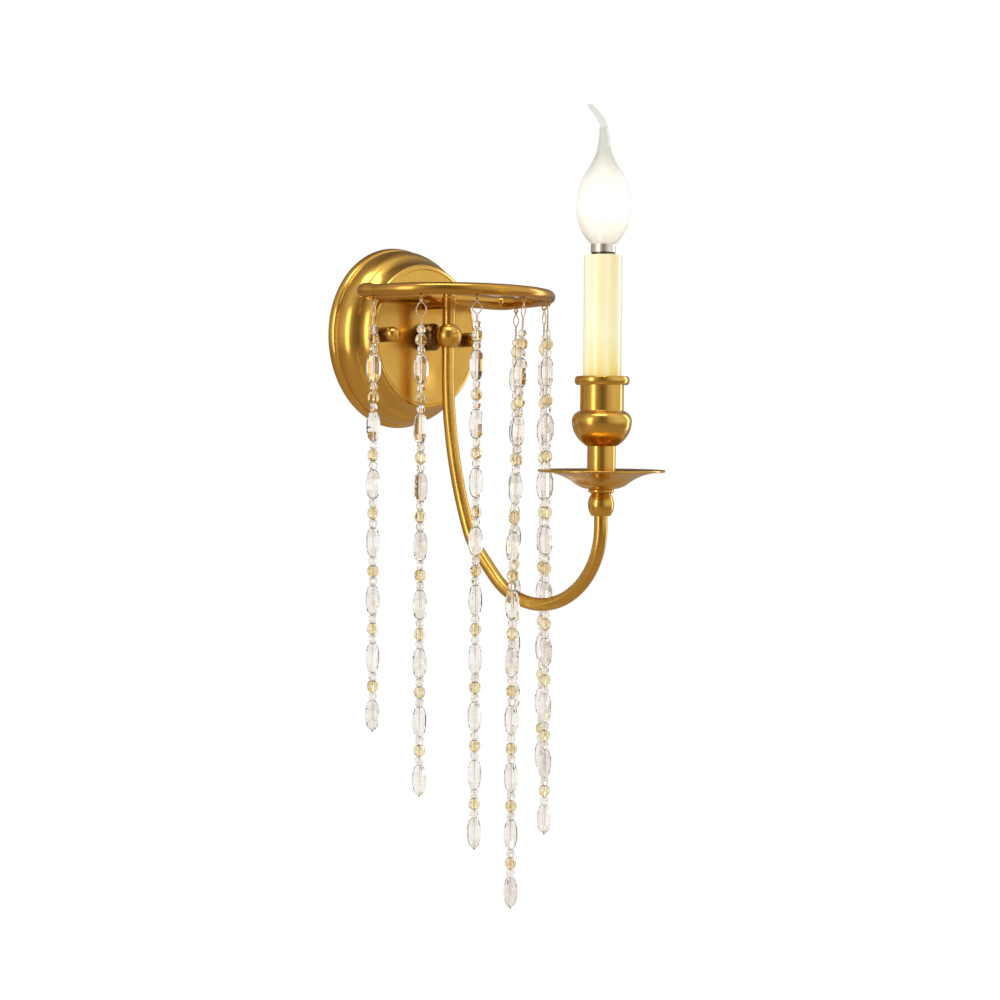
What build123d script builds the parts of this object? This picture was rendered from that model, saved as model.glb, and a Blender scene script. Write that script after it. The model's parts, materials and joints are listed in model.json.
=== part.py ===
from build123d import *

import math
import os

# Crystal wall sconce: a round brass canopy, one J-shaped arm with a candle lamp, and a D-shaped
# crown ring from which seven strings of cut crystal beads hang.
# Millimetres. The wall is the plane Y = 0, the sconce stands out of it towards -Y, Z is up and X runs
# along the wall. The origin is the centre of the wall bracket, level with the hub's axis.

# ---- driving dimensions -------------------------------------------------------------------------

wall_to_hub = 56.0          # wall to the axis of the hub ball and the crown post
hub_to_candle = 143.0       # hub axis to candle axis
thread_gap = 0.05           # radial clearance wherever something is screwed or pushed into a hole
rod_gap = 0.15              # radial clearance of a bead on its wire
turning_gap = 0.1           # clearance between pieces that turn or slide on each other

# Wall bracket and its fixings
bracket_length = 104.0
bracket_width = 20.0
bracket_thickness = 2.0
wall_slot_spacing = 56.0
wall_slot_length = 10.0
wall_slot_radius = 2.25
cable_hole_radius = 6.0
stud_spacing = 84.0         # between the two cap nuts
stud_radius = 2.0
stud_head_radius = 3.8
stud_nut_flats = 7.0
stud_nut_thickness = 3.2
ground_screw_place = 15.0
ground_screw_head_radius = 4.0
ground_screw_head_height = 2.6
ground_screw_radius = 2.0

# Canopy, a spun brass dish
canopy_depth = 34.5
canopy_rim_radius = 66.2
canopy_face_radius = 50.2
canopy_sheet = 0.9
rim_bead_height = 7.2
rim_bead_bulge = 1.3
rim_groove_depth = 1.1
rim_groove_width = 1.0
face_line_depth = 0.35
face_line_width = 0.9

# Cap nuts
cap_nut_radius = 5.3
cap_nut_length = 12.7
cap_nut_groove = 0.45
cap_nut_bore_depth = 10.0

# Threaded tube (10 mm) that joins the pieces and leads the wires
nipple_radius = 5.0
nipple_bore_radius = 3.4
thin_nut_flats = 14.0
thin_nut_thickness = 3.0
washer_radius = 9.0
washer_thickness = 1.2

# Hub
hub_ball_radius = 9.4
hub_flat_height = 8.2
neck_flange_radius = 9.9
neck_flange_length = 8.0
neck_cove_radius = 7.3

# Crown: post, collar, bridge and ring
post_radius = 4.75
post_top = 19.4
post_stud_radius = 3.0
post_stud_insertion = 4.0
collar_radius = 5.2
collar_height = 8.6
crown_nut_radius = 4.6
crown_nut_height = 6.5
ring_tube_radius = 4.2
ring_radius = 73.0          # centre line of the half circle
ring_height = 28.2
ring_bar_radius = 5.2       # the straight bar is thicker than the half circle, and its centre line is
ring_bar_height = 28.7      # a little higher
bar_to_canopy_gap = 0.5
ring_bend_radius = 9.0
bridge_radius = 3.8
bridge_height = 23.6

# Arm
arm_radius = 4.5
arm_bore_radius = 3.5
arm_insertion = 4.5         # into the hub ball, and
arm_knuckle_insertion = 7.8  # into the knuckle
arm_first_radius = 318.0
arm_first_turn = 21.4       # degrees
arm_second_radius = 40.0
arm_second_turn = 21.9
arm_third_radius = 55.85
arm_rise = 15.1             # last straight stretch, upwards

# Candle, from the bottom upwards: heights above the hub's axis
knuckle_bottom = -123.8
knuckle_height = 14.7
knuckle_end_radius = 6.65
knuckle_radius = 8.65
pan_washer_thickness = 3.3
pan_washer_radius = 8.65
pan_radius = 42.3
pan_depth = 12.7
pan_sheet = 1.0
pan_base_radius = 9.9
pan_rim_bead = 0.8
stem_radius = 9.4
stem_wall = 1.2
stem_length = 27.5
cup_height = 45.9
cup_base_radius = 10.3
cup_bulge_radius = 19.9
cup_neck_radius = 14.4
cup_rim_radius = 18.1
cup_rim_thickness = 5.5
cup_bore_radius = 11.2
cup_floor = 6.5
sleeve_radius = 12.6
sleeve_wall = 0.9
sleeve_length = 85.0
sleeve_seat_depth = 5.6     # how deep the sleeve stands in the cup

# Lamp holder and lamp
holder_post_radius = 6.2
holder_post_bore_radius = 4.2
holder_post_height = 70.0
holder_radius = 11.2
holder_height = 45.6
holder_collar_radius = 8.7
holder_collar_height = 3.5
holder_floor = 20.0
holder_wire_bore_radius = 3.0
holder_wire_bore_depth = 8.0
shell_radius = 7.7
shell_wall = 0.6
shell_ledge = 6.0           # above the floor of the holder's socket
shell_length = 17.0
contact_height = 5.3
lamp_thread_radius = 6.9
lamp_thread_pitch = 2.8
lamp_thread_depth = 0.5
lamp_thread_length = 17.0
lamp_skirt_radius = 8.2
lamp_skirt_height = 6.0
lamp_cap_wall = 0.5
lamp_insulator_height = 2.8
lamp_contact_height = 0.8
lamp_contact_radius = 2.4
glass_wall = 0.7
glass_neck_radius = 7.55
glass_radius = 17.8
glass_widest_height = 26.0  # skirt to the widest place
glass_tail_radius = 5.0     # at the root of the tail
glass_height = 97.5         # skirt to the tip of the tail
glass_body_height = 66.5    # skirt to the root of the tail
filament_height = 31.0

# Wires
lamp_wire_radius = 0.8
lamp_wire_spacing = 2.0
connector_radius = 4.2
connector_length = 15.0
connector_spacing = 11.0
connector_top = -9.0

# Bead strings
string_count = 7
string_repeats = (7, 8, 9, 10, 9, 8, 7)
string_first_bead = (-5.2, -6.5, -3.2, -8.0, -5.7, -7.5, -8.4)   # heights of the first champagne beads
small_bead_length = 5.8
small_bead_radius = 2.9
champagne_bead_length = 7.9
champagne_bead_radius = 3.95
oval_bead_length = 20.0
oval_bead_radius = 5.0
bead_gap = 0.125
bead_wire_radius = 0.4
twist_radius = 0.8
eye_radius = 1.6
eye_wire_radius = 0.5
eye_sink = 0.6              # how far the eye is let into the ring
wire_loop_radius = 1.05
wire_loop_width = 6.4
wire_loop_shoulder = 4.2
wire_loop_drop = 10.5
wire_end_radius = 0.75
arm_to_bead_gap = 0.4
leaning_string = 3          # the middle one, which hangs beside the arm
leaning_repeats = 4         # the repeats above its kink

# ---- places worked out from them ----------------------------------------------------------------

hub_y = -wall_to_hub
candle_y = hub_y - hub_to_candle
face_back = canopy_depth - canopy_sheet
nipple_hub_end = wall_to_hub - nipple_radius
ring_leg = wall_to_hub - canopy_depth - bar_to_canopy_gap - ring_bar_radius   # hub axis back to the bar
bar_y = hub_y + ring_leg
string_pitch = 2 * small_bead_length + champagne_bead_length + oval_bead_length + 4 * bead_gap
eye_z = ring_height - ring_tube_radius + eye_sink - eye_radius - eye_wire_radius
hang_z = eye_z - eye_radius
knuckle_top = knuckle_bottom + knuckle_height
pan_base = knuckle_top + pan_washer_thickness
pan_floor = pan_base + pan_sheet
pan_rim = pan_base + pan_depth
cup_base = pan_floor + stem_length
cup_inside = cup_base + cup_floor
cup_rim = cup_base + cup_height
cup_neck_top = cup_rim - cup_rim_thickness
sleeve_base = cup_rim - sleeve_seat_depth
sleeve_top = sleeve_base + sleeve_length
holder_post_base = cup_inside + thin_nut_thickness + 1.0
holder_base = holder_post_base + holder_post_height
holder_top = holder_base + holder_height
socket_floor = holder_base + holder_floor
shell_base = socket_floor + shell_ledge
lamp_skirt_base = holder_top + 0.4
lamp_thread_base = lamp_skirt_base - lamp_thread_length
lamp_skirt_top = lamp_skirt_base + lamp_skirt_height

os.makedirs("parts", exist_ok=True)
parts = {}


def keep(name, solid):
    """Give a finished piece its name."""
    parts[name] = solid


# ---- shared shapes ------------------------------------------------------------------------------

def turned(start, *steps):
    """A solid turned about the Z axis. A step is the next (radius, height), or (middle, end) of an arc."""
    edges = []
    here = start
    for step in steps + (start,):
        if isinstance(step[0], tuple):
            middle, end = step
            edges.append(ThreePointArc((here[0], 0, here[1]), (middle[0], 0, middle[1]), (end[0], 0, end[1])))
            here = end
        else:
            edges.append(Line((here[0], 0, here[1]), (step[0], 0, step[1])))
            here = step
    return revolve(make_face(Wire(edges)), Axis.Z)


def dome_middle(radius, base):
    """The middle point of the arc of a half-round dome."""
    return radius * math.sqrt(0.5), base + radius * math.sqrt(0.5)


def rod(radius, bottom, top):
    """A round rod on the Z axis between two heights."""
    return Pos(0, 0, bottom) * Cylinder(radius, top - bottom, align=(Align.CENTER, Align.CENTER, Align.MIN))


def tube(radius, bore, bottom, top):
    """A round tube on the Z axis between two heights."""
    return rod(radius, bottom, top) - rod(bore, bottom - 1, top + 1)


def hex_nut(flats, thickness, bore):
    """A hexagon nut that stands on Z = 0."""
    body = extrude(RegularPolygon(flats / math.sqrt(3), 6), thickness)
    chamfered = body & turned((0, 0), (flats * 0.535, 0), (flats * 0.577, thickness * 0.2),
                              (flats * 0.577, thickness * 0.8), (flats * 0.535, thickness), (0, thickness))
    return chamfered - rod(bore, -1, thickness + 1)


def out_of_wall(solid, x=0.0, z=0.0):
    """Turn a solid made along +Z so that its height runs from the wall outwards."""
    return Pos(x, 0, z) * Rot(90, 0, 0) * solid


def on_hub(solid):
    return Pos(0, hub_y, 0) * solid


def on_candle(solid):
    return Pos(0, candle_y, 0) * solid


def swept_tube(path, radius):
    """A round rod along a smooth path."""
    start = Plane(path @ 0, z_dir=path % 0)
    return sweep(start * Circle(radius), path=path)


# ---- wall bracket -------------------------------------------------------------------------------

def wall_bracket():
    plate = extrude(SlotOverall(bracket_length, bracket_width), bracket_thickness)
    plate -= rod(cable_hole_radius, -1, bracket_thickness + 1)
    plate -= Pos(ground_screw_place, 0, 0) * rod(ground_screw_radius + thread_gap, -1, bracket_thickness + 1)
    for side in (-1, 1):
        slot = extrude(SlotOverall(wall_slot_length, 2 * wall_slot_radius), bracket_thickness)
        plate -= Pos(side * wall_slot_spacing / 2, 0, 0) * slot
        hole = Pos(0, 0, -thread_gap) * bracket_stud(thread_gap)
        plate -= Pos(side * stud_spacing / 2, 0, 0) * hole
    return plate


def bracket_stud(allowance=0.0):
    """A countersunk screw whose head lies flush in the back of the bracket."""
    shank = stud_radius + allowance
    head = stud_head_radius + allowance
    sink = head - shank
    end = canopy_depth + cap_nut_bore_depth - 1.0
    return turned((0, 0), (head, 0), (shank, sink), (shank, end - 0.6), (shank - 0.6, end), (0, end))


def both_studs(solid):
    """The same piece on each of the two studs, as separate solids."""
    return [out_of_wall(solid, side * stud_spacing / 2) for side in (-1, 1)]


keep("wall_bracket", out_of_wall(wall_bracket()))
keep("bracket_studs", Compound(children=both_studs(bracket_stud())))
stud_nut = Pos(0, 0, bracket_thickness) * hex_nut(stud_nut_flats, stud_nut_thickness, stud_radius + thread_gap)
keep("stud_nuts", Compound(children=both_studs(stud_nut)))


def ground_screw():
    top = bracket_thickness + ground_screw_head_height
    rim = ground_screw_head_radius
    screw = turned((0, 0.2), (ground_screw_radius, 0.2), (ground_screw_radius, bracket_thickness),
                   (rim, bracket_thickness), (rim, bracket_thickness + 1.0),
                   ((rim * 0.75, top - 0.4), (rim * 0.35, top)), (0, top))
    slot = Pos(0, 0, top) * Box(2 * rim, 0.9, 2.0)
    return screw - slot


keep("ground_screw", out_of_wall(ground_screw(), ground_screw_place))


# ---- canopy -------------------------------------------------------------------------------------

def canopy_dish(inset):
    """The dish as a full solid, with its outline moved in by inset all over."""
    rim = canopy_rim_radius - rim_bead_bulge - inset
    floor = rim - rim_groove_depth
    face = canopy_face_radius - inset
    top = canopy_depth - inset
    bead_top = rim_bead_height - inset
    shelf = bead_top + rim_groove_width
    ovolo_end = (face + 9.4, top - 12.9)
    cove_end = (face + 3.2, top - 3.3)
    return turned(
        (0, 0), (rim, 0),
        ((rim + rim_bead_bulge, bead_top / 2), (rim, bead_top)),
        (floor, bead_top + 0.4), (floor, shelf),
        ((floor - 0.6, shelf + 6.9), ovolo_end),
        ((face + 5.4, top - 8.5), cove_end),
        ((face + 2.2, top - 0.9), (face, top)),
        (0, top))


def canopy():
    shell = canopy_dish(0) - canopy_dish(canopy_sheet)
    line_radius = canopy_face_radius - 1.2
    groove = turned((line_radius, canopy_depth - face_line_depth),
                    (line_radius + face_line_width / 2, canopy_depth + 0.1),
                    (line_radius - face_line_width / 2, canopy_depth + 0.1))
    shell -= groove
    shell -= rod(nipple_radius + thread_gap, face_back - 1, canopy_depth + 1)
    for side in (-1, 1):
        shell -= Pos(side * stud_spacing / 2, 0, 0) * rod(stud_radius + 0.3, face_back - 1, canopy_depth + 1)
    return shell


keep("canopy", out_of_wall(canopy()))


def cap_nut():
    """A round nut with a domed end, blind inside, that holds the canopy."""
    shoulder = canopy_depth + cap_nut_length - cap_nut_radius
    waist = cap_nut_radius - cap_nut_groove
    top = canopy_depth + cap_nut_length
    body = turned(
        (0, canopy_depth), (cap_nut_radius - 0.4, canopy_depth), (cap_nut_radius, canopy_depth + 0.4),
        (cap_nut_radius, shoulder - 1.0), (waist, shoulder - 0.6), (waist, shoulder - 0.2),
        (cap_nut_radius, shoulder), (dome_middle(cap_nut_radius, shoulder), (0, top)))
    bore = rod(stud_radius + turning_gap, canopy_depth - 1, canopy_depth + cap_nut_bore_depth)
    return body - bore


keep("canopy_nut_left", out_of_wall(cap_nut(), -stud_spacing / 2))
keep("canopy_nut_right", out_of_wall(cap_nut(), stud_spacing / 2))


# ---- hub ----------------------------------------------------------------------------------------

washer_base = face_back - washer_thickness
thin_nut = hex_nut(thin_nut_flats, thin_nut_thickness, nipple_radius + thread_gap)
keep("lock_washer", out_of_wall(tube(washer_radius, nipple_radius + thread_gap, washer_base, face_back)))
keep("lock_nut", out_of_wall(Pos(0, 0, washer_base - thin_nut_thickness) * thin_nut))
nipple_back = washer_base - thin_nut_thickness - 3.0
keep("hub_nipple", out_of_wall(tube(nipple_radius, nipple_bore_radius, nipple_back, nipple_hub_end)))


def hub_ball():
    ball = Sphere(hub_ball_radius) & Box(4 * hub_ball_radius, 4 * hub_ball_radius, 2 * hub_flat_height)
    inward = Rot(-90, 0, 0)
    ball -= inward * rod(nipple_radius + thread_gap, nipple_radius, 2 * hub_ball_radius)
    ball -= inward * rod(arm_bore_radius, -arm_bore_radius, 2 * hub_ball_radius)
    ball -= rod(arm_radius + thread_gap, -2 * hub_flat_height, -hub_flat_height + arm_insertion)
    ball -= rod(arm_bore_radius, -2 * hub_flat_height, arm_bore_radius - 0.5)
    ball -= rod(post_stud_radius + thread_gap, hub_flat_height - post_stud_insertion, 2 * hub_flat_height)
    return ball


def neck_coupling():
    """The turned collar between the canopy's face and the ball, seated on the ball."""
    flange_end = canopy_depth + neck_flange_length
    neck = turned(
        (0, canopy_depth), (neck_flange_radius, canopy_depth),
        (neck_flange_radius, flange_end - 1.0), (neck_flange_radius - 0.8, flange_end),
        ((neck_cove_radius, flange_end + 2.6), (neck_cove_radius + 0.9, wall_to_hub - 4.0)),
        (0, wall_to_hub - 4.0))
    neck -= rod(nipple_radius + thread_gap, canopy_depth - 1, wall_to_hub)
    return neck - Pos(0, 0, wall_to_hub) * Sphere(hub_ball_radius)


keep("hub_ball", on_hub(hub_ball()))
keep("neck_coupling", out_of_wall(neck_coupling()))


# ---- crown --------------------------------------------------------------------------------------

collar_top = post_top + collar_height
stud_top = collar_top + crown_nut_height - 1.5
post = rod(post_radius, hub_flat_height, post_top)
post += rod(post_stud_radius, hub_flat_height - post_stud_insertion + 0.2, hub_flat_height)
post += rod(post_stud_radius, post_top, stud_top)
keep("crown_post", on_hub(post))


def crown_collar():
    ring = turned((0, post_top), (collar_radius - 0.5, post_top), (collar_radius, post_top + 0.5),
                  (collar_radius, collar_top - 0.5), (collar_radius - 0.5, collar_top), (0, collar_top))
    return ring - rod(post_stud_radius + thread_gap, post_top - 1, collar_top + 1)


def crown_nut():
    top = collar_top + crown_nut_height
    nut = turned((0, collar_top), (crown_nut_radius, collar_top), (crown_nut_radius, top - crown_nut_radius),
                 (dome_middle(crown_nut_radius, top - crown_nut_radius), (0, top)))
    return nut - rod(post_stud_radius + thread_gap, collar_top - 1, stud_top + 0.2)


def ring_bar():
    """The straight bar of the crown ring, which passes close in front of the canopy's face."""
    half = ring_radius - ring_bend_radius
    return Pos(0, bar_y, ring_bar_height) * Rot(0, 90, 0) * Cylinder(ring_bar_radius, 2 * half)


def crown_ring():
    """The half circle, two legs that swell to the bar's thickness, two bends and the bar."""
    slim = Circle(ring_tube_radius)
    thick = Circle(ring_bar_radius)
    front = revolve(Plane.XZ * Pos(ring_radius, 0) * slim, Axis.Z, -180)
    ring = Pos(0, hub_y, ring_height) * front + ring_bar()
    leg_length = ring_leg - ring_bend_radius
    corner = revolve(Plane.XZ * Pos(ring_bend_radius, 0) * thick, Axis.Z, 90)
    bend_y = hub_y + leg_length
    for side in (-1, 1):
        x = side * ring_radius
        leg_start = Plane(origin=(x, hub_y, ring_height), x_dir=(1, 0, 0), z_dir=(0, 1, 0))
        leg_end = Plane(origin=(x, bend_y, ring_bar_height), x_dir=(1, 0, 0), z_dir=(0, 1, 0))
        ring += loft([leg_start * slim, leg_end * thick])
        centre = Pos(side * (ring_radius - ring_bend_radius), bend_y, ring_bar_height)
        ring += centre * Rot(0, 0, 0 if side > 0 else 90) * corner
    return ring


def ring_bridge():
    """The short rod that carries the ring: brazed under the bar and to the collar."""
    length = ring_leg + ring_bar_radius - 1.2
    bridge = Pos(0, hub_y, bridge_height) * Rot(-90, 0, 0) * rod(bridge_radius, 0, length)
    bridge -= on_hub(rod(collar_radius, bridge_height - 20, bridge_height + 20))
    return bridge - ring_bar()


keep("crown_collar", on_hub(crown_collar()))
keep("crown_nut", on_hub(crown_nut()))
keep("ring_bridge", ring_bridge())
keep("crown_ring", crown_ring())


def string_angle(index):
    return 180.0 / (string_count - 1) * index


def at_string(index, height=0.0):
    """The place on the ring where a string hangs, with X turned to face outwards from the post."""
    angle = string_angle(index)
    x = -ring_radius * math.cos(math.radians(angle))
    y = hub_y - ring_radius * math.sin(math.radians(angle))
    return Pos(x, y, height) * Rot(0, 0, 180 + angle)


def ring_eyes():
    """Small wire rings brazed into the underside of the ring, each in the plane that looks outwards."""
    eye = Rot(90, 0, 0) * Torus(eye_radius, eye_wire_radius)
    ring = crown_ring()
    return [at_string(index, eye_z) * eye - ring for index in range(string_count)]


keep("ring_eyes", Compound(children=ring_eyes()))


# ---- arm ----------------------------------------------------------------------------------------

class Route:
    """A path in a plane of constant X, drawn by straight runs and turns. Angle 0 points down, 90 out."""

    def __init__(self, x, y, z, angle):
        self.edges = []
        self.x = x
        self.y = y
        self.z = z
        self.angle = angle

    def run(self, length):
        start = (self.x, self.y, self.z)
        self.y -= length * math.sin(math.radians(self.angle))
        self.z -= length * math.cos(math.radians(self.angle))
        self.edges.append(Line(start, (self.x, self.y, self.z)))

    def turn(self, radius, degrees):
        points = [(self.x, self.y, self.z)]
        sign = 1 if degrees > 0 else -1
        side = math.radians(self.angle + 90 * sign)
        centre_y = self.y - radius * math.sin(side)
        centre_z = self.z - radius * math.cos(side)
        for share in (0.5, 1.0):
            back = math.radians(self.angle + degrees * share - 90 * sign)
            self.y = centre_y - radius * math.sin(back)
            self.z = centre_z - radius * math.cos(back)
            points.append((self.x, self.y, self.z))
        self.edges.append(ThreePointArc(*points))
        self.angle += degrees

    def path(self):
        return Wire(self.edges)


def arm_runs():
    """The first drop, and the slanting run between the second and third curves, that bring the arm's end
    exactly under the candle."""
    first = math.radians(arm_first_turn)
    second = math.radians(arm_first_turn + arm_second_turn)
    reach = arm_first_radius * (1 - math.cos(first))
    reach += arm_second_radius * (math.cos(first) - math.cos(second))
    reach += arm_third_radius * (math.cos(second) + 1)
    slant = (hub_to_candle - reach) / math.sin(second)
    fall = arm_first_radius * math.sin(first)
    fall += arm_second_radius * (math.sin(second) - math.sin(first))
    fall += slant * math.cos(second)
    fall -= arm_third_radius * math.sin(second)
    end = knuckle_bottom + arm_knuckle_insertion
    drop = -hub_flat_height + arm_insertion - (end - arm_rise) - fall
    return drop, slant


def follow_arm(route, extra_drop, extra_rise):
    """Carry a route along the arm's centre line, from its upper end in the ball to its end in the knuckle."""
    drop, slant = arm_runs()
    route.run(drop + extra_drop)
    route.turn(arm_first_radius, arm_first_turn)
    route.turn(arm_second_radius, arm_second_turn)
    route.run(slant)
    route.turn(arm_third_radius, 180 - arm_first_turn - arm_second_turn)
    route.run(arm_rise + extra_rise)


def arm_tube():
    route = Route(0, hub_y, -hub_flat_height + arm_insertion, 0)
    follow_arm(route, 0, 0)
    path = route.path()
    return swept_tube(path, arm_radius) - swept_tube(path, arm_bore_radius)


keep("arm_tube", arm_tube())


# ---- candle -------------------------------------------------------------------------------------

def knuckle():
    middle = knuckle_bottom + knuckle_height * 0.57
    body = turned((0, knuckle_bottom), (knuckle_end_radius - 0.4, knuckle_bottom),
                  (knuckle_end_radius, knuckle_bottom + 0.6),
                  ((knuckle_radius, middle), (knuckle_end_radius, knuckle_top - 0.4)),
                  (knuckle_end_radius - 0.4, knuckle_top), (0, knuckle_top))
    body -= rod(arm_radius + thread_gap, knuckle_bottom - 1, knuckle_bottom + arm_knuckle_insertion)
    return body - rod(nipple_radius + thread_gap, knuckle_bottom + arm_knuckle_insertion, knuckle_top + 1)


def pan_washer():
    edge = pan_washer_radius
    body = turned((0, knuckle_top), (knuckle_end_radius, knuckle_top), (edge, knuckle_top + 1.4),
                  (edge, pan_base - 0.8), (edge - 0.5, pan_base), (0, pan_base))
    return body - rod(nipple_radius + thread_gap, knuckle_top - 1, pan_base + 1)


def drip_pan():
    """A shallow dish with an ogee side: bowl-shaped at the foot, flaring flat towards the rim."""
    foot = pan_base_radius
    edge = pan_radius - pan_rim_bead
    rim_low = pan_rim - 2 * pan_rim_bead
    ogee = (foot + 9.1, pan_base + 4.4)
    lower_bend = (foot + 4.8, pan_base + 1.5)
    upper_bend = (foot + 18.6, pan_base + 9.2)
    thick = pan_sheet
    body = turned(
        (0, pan_base), (foot, pan_base), (lower_bend, ogee), (upper_bend, (edge, rim_low)),
        ((pan_radius, pan_rim - pan_rim_bead), (edge, pan_rim)),
        ((upper_bend[0] - 0.3, upper_bend[1] + thick + 0.3), (ogee[0] - 0.5, ogee[1] + thick)),
        ((lower_bend[0] - 0.3, lower_bend[1] + thick), (foot - 0.1, pan_floor)),
        (0, pan_floor))
    return body - rod(nipple_radius + thread_gap, pan_base - 1, pan_floor + 1)


def candle_cup():
    """The turned cup: a pear-shaped foot, a straight neck and a flanged rim."""
    neck_bottom = cup_base + 23.4
    body = turned(
        (0, cup_base), (cup_base_radius, cup_base),
        ((cup_bulge_radius - 2.7, cup_base + 6.9), (cup_bulge_radius, cup_base + 15.9)),
        ((cup_bulge_radius - 1.5, cup_base + 20.6), (cup_neck_radius + 0.4, neck_bottom - 0.4)),
        (cup_neck_radius, neck_bottom), (cup_neck_radius, cup_neck_top),
        (cup_rim_radius - 0.9, cup_neck_top),
        ((cup_rim_radius, cup_neck_top + 2.2), (cup_rim_radius - 0.5, cup_rim - 0.5)),
        (cup_rim_radius - 1.1, cup_rim), (0, cup_rim))
    body -= rod(sleeve_radius + turning_gap, sleeve_base, cup_rim + 1)
    body -= rod(cup_bore_radius, cup_inside, cup_rim)
    return body - rod(nipple_radius + thread_gap, cup_base - 1, cup_rim)


keep("knuckle", on_candle(knuckle()))
keep("pan_washer", on_candle(pan_washer()))
keep("drip_pan", on_candle(drip_pan()))
keep("stem_tube", on_candle(tube(stem_radius, stem_radius - stem_wall, pan_floor, cup_base)))
keep("candle_cup", on_candle(candle_cup()))
nipple_foot = knuckle_bottom + arm_knuckle_insertion + 0.4
nipple_head = holder_post_base + 8.0
keep("candle_nipple", on_candle(tube(nipple_radius, nipple_bore_radius, nipple_foot, nipple_head)))
keep("cup_nut", on_candle(Pos(0, 0, cup_inside) * thin_nut))


def candle_sleeve():
    """The plain white tube that slips over the lamp holder and stands in the cup."""
    inside = sleeve_radius - sleeve_wall
    return turned((inside, sleeve_base), (sleeve_radius, sleeve_base), (sleeve_radius, sleeve_top - 0.4),
                  (sleeve_radius - 0.4, sleeve_top), (inside, sleeve_top))


keep("candle_sleeve", on_candle(candle_sleeve()))


# ---- lamp holder --------------------------------------------------------------------------------

def holder_post():
    """The threaded foot that carries the socket. It stands on the nut in the cup."""
    post_foot = cup_inside + thin_nut_thickness
    body = rod(holder_post_radius, post_foot, holder_base)
    body -= rod(nipple_radius + thread_gap, post_foot - 1, nipple_head + 0.5)
    return body - rod(holder_post_bore_radius, post_foot, holder_base + 1)


def holder_body():
    """The insulating socket, with its stepped well."""
    collar_base = holder_top - holder_collar_height
    body = turned((0, holder_base), (holder_radius - 0.6, holder_base), (holder_radius, holder_base + 0.6),
                  (holder_radius, collar_base - 0.6), (holder_radius - 0.6, collar_base),
                  (holder_collar_radius, collar_base), (holder_collar_radius, holder_top), (0, holder_top))
    body -= rod(shell_radius + thread_gap, shell_base, holder_top + 1)
    body -= rod(shell_radius - shell_wall - 0.2, socket_floor, holder_top)
    return body - rod(holder_wire_bore_radius, holder_base - 1, holder_base + holder_wire_bore_depth)


def centre_contact():
    """The tongue under the lamp's foot: a base disc, a stalk and a contact disc."""
    top = socket_floor + contact_height
    return turned((0, socket_floor), (5.0, socket_floor), (5.0, socket_floor + 0.5),
                  (1.5, socket_floor + 0.5), (1.5, top - 0.6), (2.6, top - 0.6), (2.6, top), (0, top))


keep("holder_post", on_candle(holder_post()))
keep("holder_body", on_candle(holder_body()))
screw_shell = tube(shell_radius, shell_radius - shell_wall, shell_base, shell_base + shell_length)
keep("screw_shell", on_candle(screw_shell))
keep("centre_contact", on_candle(centre_contact()))


# ---- lamp ---------------------------------------------------------------------------------------

def lamp_cap():
    """The brass cap: a ribbed thread under a plain skirt, open inside."""
    crest = lamp_thread_radius
    root = crest - lamp_thread_depth
    skirt = lamp_skirt_radius
    steps = [(crest, lamp_thread_base)]
    height = lamp_thread_base + 1.0
    while height + lamp_thread_pitch < lamp_skirt_base:
        middle = height + lamp_thread_pitch / 2
        steps.append((crest, height))
        steps.append(((root, middle), (crest, height + lamp_thread_pitch - 0.4)))
        height += lamp_thread_pitch
    steps.append((crest, lamp_skirt_base))
    steps.append((skirt, lamp_skirt_base + 0.8))
    steps.append((skirt, lamp_skirt_top))
    steps.append((0, lamp_skirt_top))
    cap = turned((0, lamp_thread_base), *steps)
    cap -= rod(root - lamp_cap_wall, lamp_thread_base + lamp_cap_wall, lamp_skirt_top)
    cap -= rod(lamp_contact_radius, lamp_thread_base - 1, lamp_skirt_top)
    return cap - rod(glass_neck_radius + thread_gap, lamp_skirt_base + 1.2, lamp_skirt_top + 1)


def lamp_insulator():
    low = lamp_thread_base - lamp_insulator_height
    return turned((0, low), (5.2, low), (lamp_thread_radius - 0.5, lamp_thread_base), (0, lamp_thread_base))


def lamp_contact():
    """The solder drop under the insulator."""
    top = lamp_thread_base - lamp_insulator_height
    low = top - lamp_contact_height
    return turned((0, low), (lamp_contact_radius * 0.6, low + 0.1), (lamp_contact_radius, top), (0, top))


glass_base = lamp_skirt_base + 1.2
glass_shoulder = lamp_skirt_base + glass_body_height


def glass_body(inset):
    """The flame-shaped part of the glass as a full solid, with its outline moved in by inset."""
    neck = glass_neck_radius - inset
    wide = glass_radius - inset
    tail = glass_tail_radius - inset
    swell = lamp_skirt_top + 0.32 * glass_widest_height
    widest = lamp_skirt_top + glass_widest_height
    turning = glass_shoulder - 12.0
    return turned(
        (0, glass_base), (neck, glass_base), (neck, lamp_skirt_top),
        ((wide - 3.7, swell), (wide - 0.4, widest - 7.4)),
        ((wide, widest), (wide - 0.9, widest + 9.0)),
        ((wide - 3.0, turning - 6.4), (wide - 6.6, turning)),
        ((tail + 2.7, turning + 5.8), (tail, glass_shoulder)),
        (0, glass_shoulder))


def glass_tail(inset, sections):
    """The drawn-out tail, which leans over to one side, through round sections."""
    rings = []
    for height, lean, radius in sections:
        middle = Pos(-0.68 * lean, 0.73 * lean, glass_shoulder + height)
        rings.append(middle * Circle(radius - inset))
    return loft(rings)


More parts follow.
